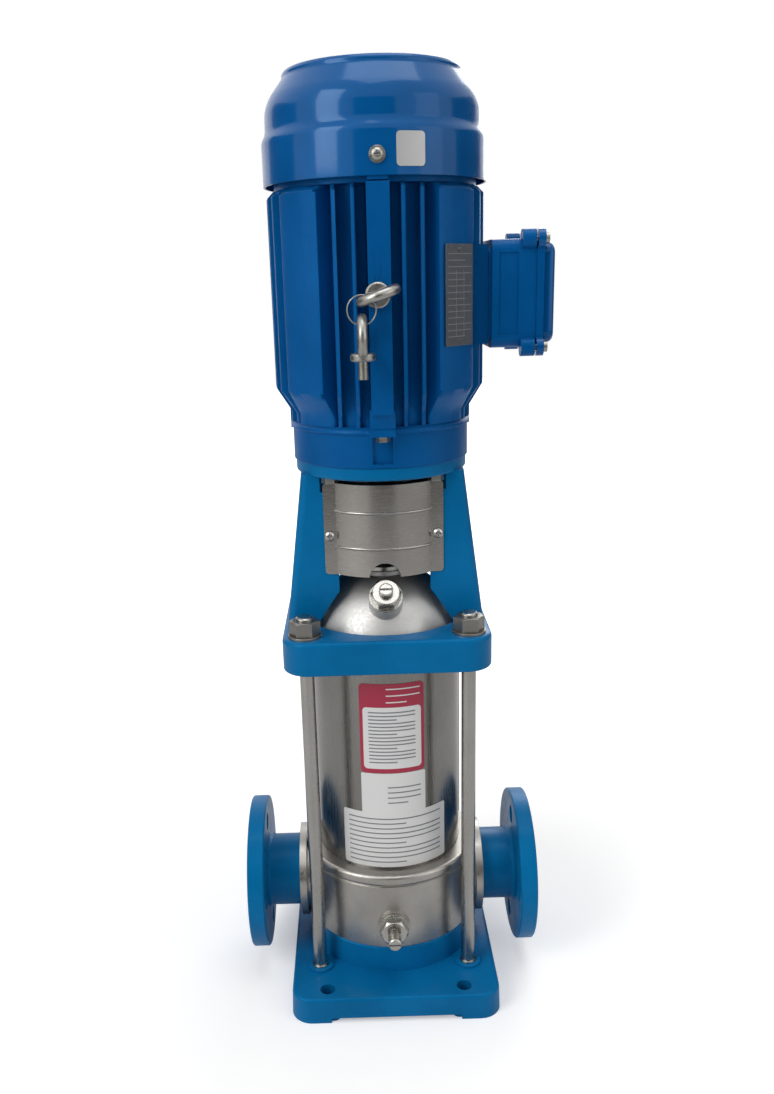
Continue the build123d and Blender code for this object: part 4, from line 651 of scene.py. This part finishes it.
class PUMP_OT_plain_sides(bpy.types.Operator):
    """Leaves the motor's lower end smooth on its two sides, with screws at the front and rear only"""

    bl_idname = "pump.plain_sides"
    bl_label = "Motor's lower end"

    def execute(self, context):
        seam = to_mm(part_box("stator_frame")[0].z)
        pocket_heights = [seam + height for height in POCKET_HEIGHTS]
        ear_heights = [seam + height for height in EAR_HEIGHTS]
        for node in ("lower_end_shield", "stator_frame"):
            piece = to_object(merged_part(node), f"{node}_cast")
            for middle in SIDES:
                if node == "lower_end_shield":
                    filler = ring_sector(POCKET_INNER, SHIELD_RADIUS, pocket_heights, middle,
                                         POCKET_HALF_ANGLE)
                    combine(piece, filler, "UNION")
                ear = ring_sector(LIP_RADIUS, EAR_OUTER, ear_heights, middle, EAR_HALF_ANGLE)
                combine(piece, ear, "DIFFERENCE")
            piece.data.materials.clear()
            piece.data.materials.append(FINISHES["motor_enamel"])
            smooth_below(piece.data, CAST_SMOOTH_ANGLE)
            weigh = piece.modifiers.new("even_shading", "WEIGHTED_NORMAL")
            weigh.keep_sharp = True
            weigh.weight = CAST_NORMAL_WEIGHT
            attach(piece, "pump")
            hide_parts(node)

        shape = merged_part("shield_screws")
        side = [vertex for vertex in shape.verts if abs(vertex.co.x) > SIDE_SCREWS_BEYOND * MM]
        bmesh.ops.delete(shape, geom=side, context="VERTS")
        screws = finish_mesh(shape, "shield_screws_kept", "zinc", smooth_angle=CAST_SMOOTH_ANGLE)
        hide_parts("shield_screws")
        return {"FINISHED"}


class PUMP_OT_nameplate_rules(bpy.types.Operator):
    """Rules plain raised lines on the nameplate"""

    bl_idname = "pump.nameplate_rules"
    bl_label = "Nameplate lines"

    def execute(self, context):
        low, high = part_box("nameplate")
        half = (high.x - low.x) / 2 / math.cos(PLATE_TURN) * PLATE_ROW_SPAN / MM
        face = math.hypot((low.x + high.x) / 2, (low.y + high.y) / 2) / MM + PLATE_PROUD
        first = low.z / MM + PLATE_MARGIN
        pitch = ((high.z - low.z) / MM - 2 * PLATE_MARGIN) / (PLATE_ROWS - 1)
        column_top = high.z / MM - PLATE_COLUMN_TOP_MARGIN
        shape = bmesh.new()
        for row in range(PLATE_ROWS):
            z = first + row * pitch
            reach = half if row % PLATE_SHORT_ROW_EVERY else half * PLATE_SHORT_ROW_SPAN
            add_box(shape, (-half, -face - PLATE_ROW_DEPTH, z - PLATE_ROW_HALF),
                    (reach, -face, z + PLATE_ROW_HALF), PLATE_TURN)
        for place in PLATE_COLUMNS:
            add_box(shape, (place * half - PLATE_COLUMN_HALF, -face - PLATE_COLUMN_DEPTH, first),
                    (place * half + PLATE_COLUMN_HALF, -face, column_top), PLATE_TURN)
        finish_mesh(shape, "nameplate_lines", "label_ink")
        return {"FINISHED"}


def thread_rings(name, middle, radius, low, high, pitch, body, finish):
    """Raised rings, in metres, that read as a screw thread on an upright shank."""
    root = radius / MM - THREAD_ROOT
    crest = radius / MM + THREAD_CREST
    flank = THREAD_FLANK_SHARE * pitch / MM
    shape = bmesh.new()
    for turn in range(max(1, int((high - low) / pitch))):
        z = (low + (turn + 0.5) * pitch) / MM
        ridge = [(root, z - flank), (crest, z), (root, z + flank)]
        corners, edges = profile_line(shape, ridge, closed=True)
        spun(shape, corners + edges, steps=24)
    bmesh.ops.translate(shape, verts=shape.verts[:], vec=(middle.x, middle.y, 0))
    finish_mesh(shape, name, finish, body=body, smooth_angle=20)


class PUMP_OT_threads(bpy.types.Operator):
    """Makes the threads on the tie rods' upper ends and on the spare eye's shank"""

    bl_idname = "pump.threads"
    bl_label = "Threads"

    def execute(self, context):
        low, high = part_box("tie_rods")
        nut_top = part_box("tie_rod_nuts")[1].z
        thread_top = high.z - ROD_THREAD_TOP_MARGIN * MM
        radius = ROD_THREAD_RADIUS * MM
        rods = [(side_x, side_y) for side_x in (-1, 1) for side_y in (-1, 1)]
        for number, (side_x, side_y) in enumerate(rods, start=1):
            middle = Vector((side_x * (high.x - radius), side_y * (high.y - radius), 0))
            thread_rings(f"rod_thread_{number}", middle, radius, nut_top, thread_top,
                         sizes().thread_pitch, "pump", "nut_steel")

        low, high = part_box("spare_eye")
        middle = (low + high) / 2
        thread_foot = low.z + EYE_THREAD_TIP_MARGIN * MM
        thread_top = low.z + (EYE_SHANK_LENGTH - EYE_THREAD_HEAD_MARGIN) * MM
        thread_rings("spare_eye_thread", middle, EYE_SHANK_RADIUS * MM, thread_foot, thread_top,
                     EYE_THREAD_PITCH * MM, "spare_eye", "zinc")
        return {"FINISHED"}


def area_light(name, place, aim, width, height, power):
    """A soft rectangular lamp."""
    data = bpy.data.lights.new(name, "AREA")
    data.shape = "RECTANGLE"
    data.size = width
    data.size_y = height
    data.energy = power
    lamp = bpy.data.objects.new(name, data)
    bpy.context.scene.collection.objects.link(lamp)
    lamp.location = place
    lamp.rotation_euler = (Vector(aim) - Vector(place)).to_track_quat("-Z", "Y").to_euler()


def add_card(name, place, aim, width, height, material):
    """A plain card of the studio that shows only in reflections."""
    shape = bmesh.new()
    bmesh.ops.create_grid(shape, x_segments=1, y_segments=1, size=0.5)
    turn = (Vector(aim) - Vector(place)).to_track_quat("Z", "Y").to_matrix().to_4x4()
    size = Matrix.Diagonal((width, height, 1, 1))
    bmesh.ops.transform(shape, matrix=Matrix.Translation(place) @ turn @ size, verts=shape.verts)
    card = to_object(shape, name)
    card.data.materials.append(material)
    card.visible_camera = False
    card.visible_shadow = False
    card.visible_diffuse = False


def studio_world():
    """A white backdrop to the eye and to reflections, and an even grey light on the object."""
    world = bpy.data.worlds.new("studio")
    world.use_nodes = True
    bpy.context.scene.world = world
    tree = world.node_tree
    background = tree.nodes["Background"]
    background.inputs["Color"].default_value = (1, 1, 1, 1)
    path = tree.nodes.new("ShaderNodeLightPath")
    seen = tree.nodes.new("ShaderNodeMath")
    seen.operation = "MAXIMUM"
    tree.links.new(path.outputs["Is Camera Ray"], seen.inputs[0])
    through = tree.nodes.new("ShaderNodeMath")
    through.operation = "MAXIMUM"
    tree.links.new(path.outputs["Is Transmission Ray"], through.inputs[0])
    tree.links.new(path.outputs["Is Glossy Ray"], through.inputs[1])
    tree.links.new(through.outputs["Value"], seen.inputs[1])
    strength = tree.nodes.new("ShaderNodeMapRange")
    strength.inputs["To Min"].default_value = WORLD_LEVEL
    strength.inputs["To Max"].default_value = 1.0
    tree.links.new(seen.outputs["Value"], strength.inputs["Value"])
    tree.links.new(strength.outputs["Result"], background.inputs["Strength"])


def floor_material():
    """A matt pale floor that glows to the camera, the more the further it is from the pump."""
    material, tree, shader = new_material("floor")
    shader.inputs["Base Color"].default_value = (*colours().floor, 1)
    shader.inputs["Roughness"].default_value = FLOOR_ROUGHNESS
    shader.inputs["Specular IOR Level"].default_value = FLOOR_SPECULAR
    path = tree.nodes.new("ShaderNodeLightPath")
    place = tree.nodes.new("ShaderNodeTexCoord")
    reach = tree.nodes.new("ShaderNodeVectorMath")
    reach.operation = "LENGTH"
    tree.links.new(place.outputs["Object"], reach.inputs[0])
    fade = tree.nodes.new("ShaderNodeMapRange")
    fade.inputs["From Min"].default_value = FLOOR_FADE_START
    fade.inputs["From Max"].default_value = FLOOR_FADE_END
    fade.inputs["To Min"].default_value = FLOOR_GLOW_NEAR
    fade.inputs["To Max"].default_value = FLOOR_GLOW_FAR
    tree.links.new(reach.outputs["Value"], fade.inputs["Value"])
    glow = tree.nodes.new("ShaderNodeMath")
    glow.operation = "MULTIPLY"
    tree.links.new(path.outputs["Is Camera Ray"], glow.inputs[0])
    tree.links.new(fade.outputs["Result"], glow.inputs[1])
    shader.inputs["Emission Color"].default_value = (1, 1, 1, 1)
    tree.links.new(glow.outputs["Value"], shader.inputs["Emission Strength"])
    return material


def add_floor():
    """The studio's floor."""
    shape = bmesh.new()
    bmesh.ops.create_grid(shape, x_segments=1, y_segments=1, size=FLOOR_REACH)
    floor = to_object(shape, "floor")
    floor.data.materials.append(floor_material())


def dark_material():
    """Matt black for the cards."""
    material, _, shader = new_material("dark_card")
    shader.inputs["Base Color"].default_value = (*CARD_COLOUR, 1)
    shader.inputs["Roughness"].default_value = 1.0
    return material


def add_camera():
    """The camera that frames the whole pump."""
    data = bpy.data.cameras.new("camera")
    data.lens = CAMERA_LENS
    data.sensor_width = CAMERA_SENSOR
    data.shift_x, data.shift_y = CAMERA_SHIFT
    data.clip_end = CAMERA_CLIP
    eye = bpy.data.objects.new("camera", data)
    bpy.context.scene.collection.objects.link(eye)
    look = Vector((math.sin(CAMERA_YAW) * math.cos(CAMERA_PITCH),
                   math.cos(CAMERA_YAW) * math.cos(CAMERA_PITCH), math.sin(CAMERA_PITCH)))
    right = Vector((math.cos(CAMERA_YAW), -math.sin(CAMERA_YAW), 0))
    above = right.cross(look)
    level_right = right * math.cos(CAMERA_ROLL) + above * math.sin(CAMERA_ROLL)
    level_above = above * math.cos(CAMERA_ROLL) - right * math.sin(CAMERA_ROLL)
    turn = Matrix((level_right, level_above, -look)).transposed().to_4x4()
    eye.matrix_world = Matrix.Translation(CAMERA_PLACE) @ turn
    bpy.context.scene.camera = eye


class PUMP_OT_studio(bpy.types.Operator):
    """Sets the pale floor, the soft lights and the camera"""

    bl_idname = "pump.studio"
    bl_label = "Studio"

    def execute(self, context):
        bpy.context.scene.view_settings.view_transform = "Standard"
        studio_world()
        add_floor()
        for name, place, aim, width, height, power in LAMPS:
            area_light(name, place, aim, width, height, power)
        dark = dark_material()
        for name, place, aim, width, height in CARDS:
            add_card(name, place, aim, width, height, dark)
        add_camera()
        return {"FINISHED"}


class PUMP_PT_panel(bpy.types.Panel):
    """Shows the pump's sizes, colours and building steps"""

    bl_label = "Pump"
    bl_idname = "PUMP_PT_panel"
    bl_space_type = "VIEW_3D"
    bl_region_type = "UI"
    bl_category = "Pump"

    def draw(self, context):
        layout = self.layout
        for name in PumpSizes.__annotations__:
            layout.prop(context.scene.pump_sizes, name)
        for name in PumpColours.__annotations__:
            layout.prop(context.scene.pump_colours, name)
        for operator in OPERATORS:
            layout.operator(operator.bl_idname)


OPERATORS = (PUMP_OT_finish_parts, PUMP_OT_cowl, PUMP_OT_plain_sides, PUMP_OT_stickers,
             PUMP_OT_nameplate_rules, PUMP_OT_threads, PUMP_OT_studio)
CLASSES = (PumpSizes, PumpColours, *OPERATORS, PUMP_PT_panel)


def register():
    """Registers the classes and gives the scene its sizes and colours."""
    for cls in CLASSES:
        bpy.utils.register_class(cls)
    bpy.types.Scene.pump_sizes = bpy.props.PointerProperty(type=PumpSizes)
    bpy.types.Scene.pump_colours = bpy.props.PointerProperty(type=PumpColours)


def unregister():
    """Takes back what register adds."""
    del bpy.types.Scene.pump_colours
    del bpy.types.Scene.pump_sizes
    for cls in reversed(CLASSES):
        bpy.utils.unregister_class(cls)


def main():
    """Builds the whole model and its studio."""
    register()
    bpy.ops.pump.finish_parts()
    bpy.ops.pump.cowl()
    bpy.ops.pump.plain_sides()
    bpy.ops.pump.stickers()
    bpy.ops.pump.nameplate_rules()
    bpy.ops.pump.threads()
    bpy.ops.pump.studio()


if __name__ == "__main__":
    main()
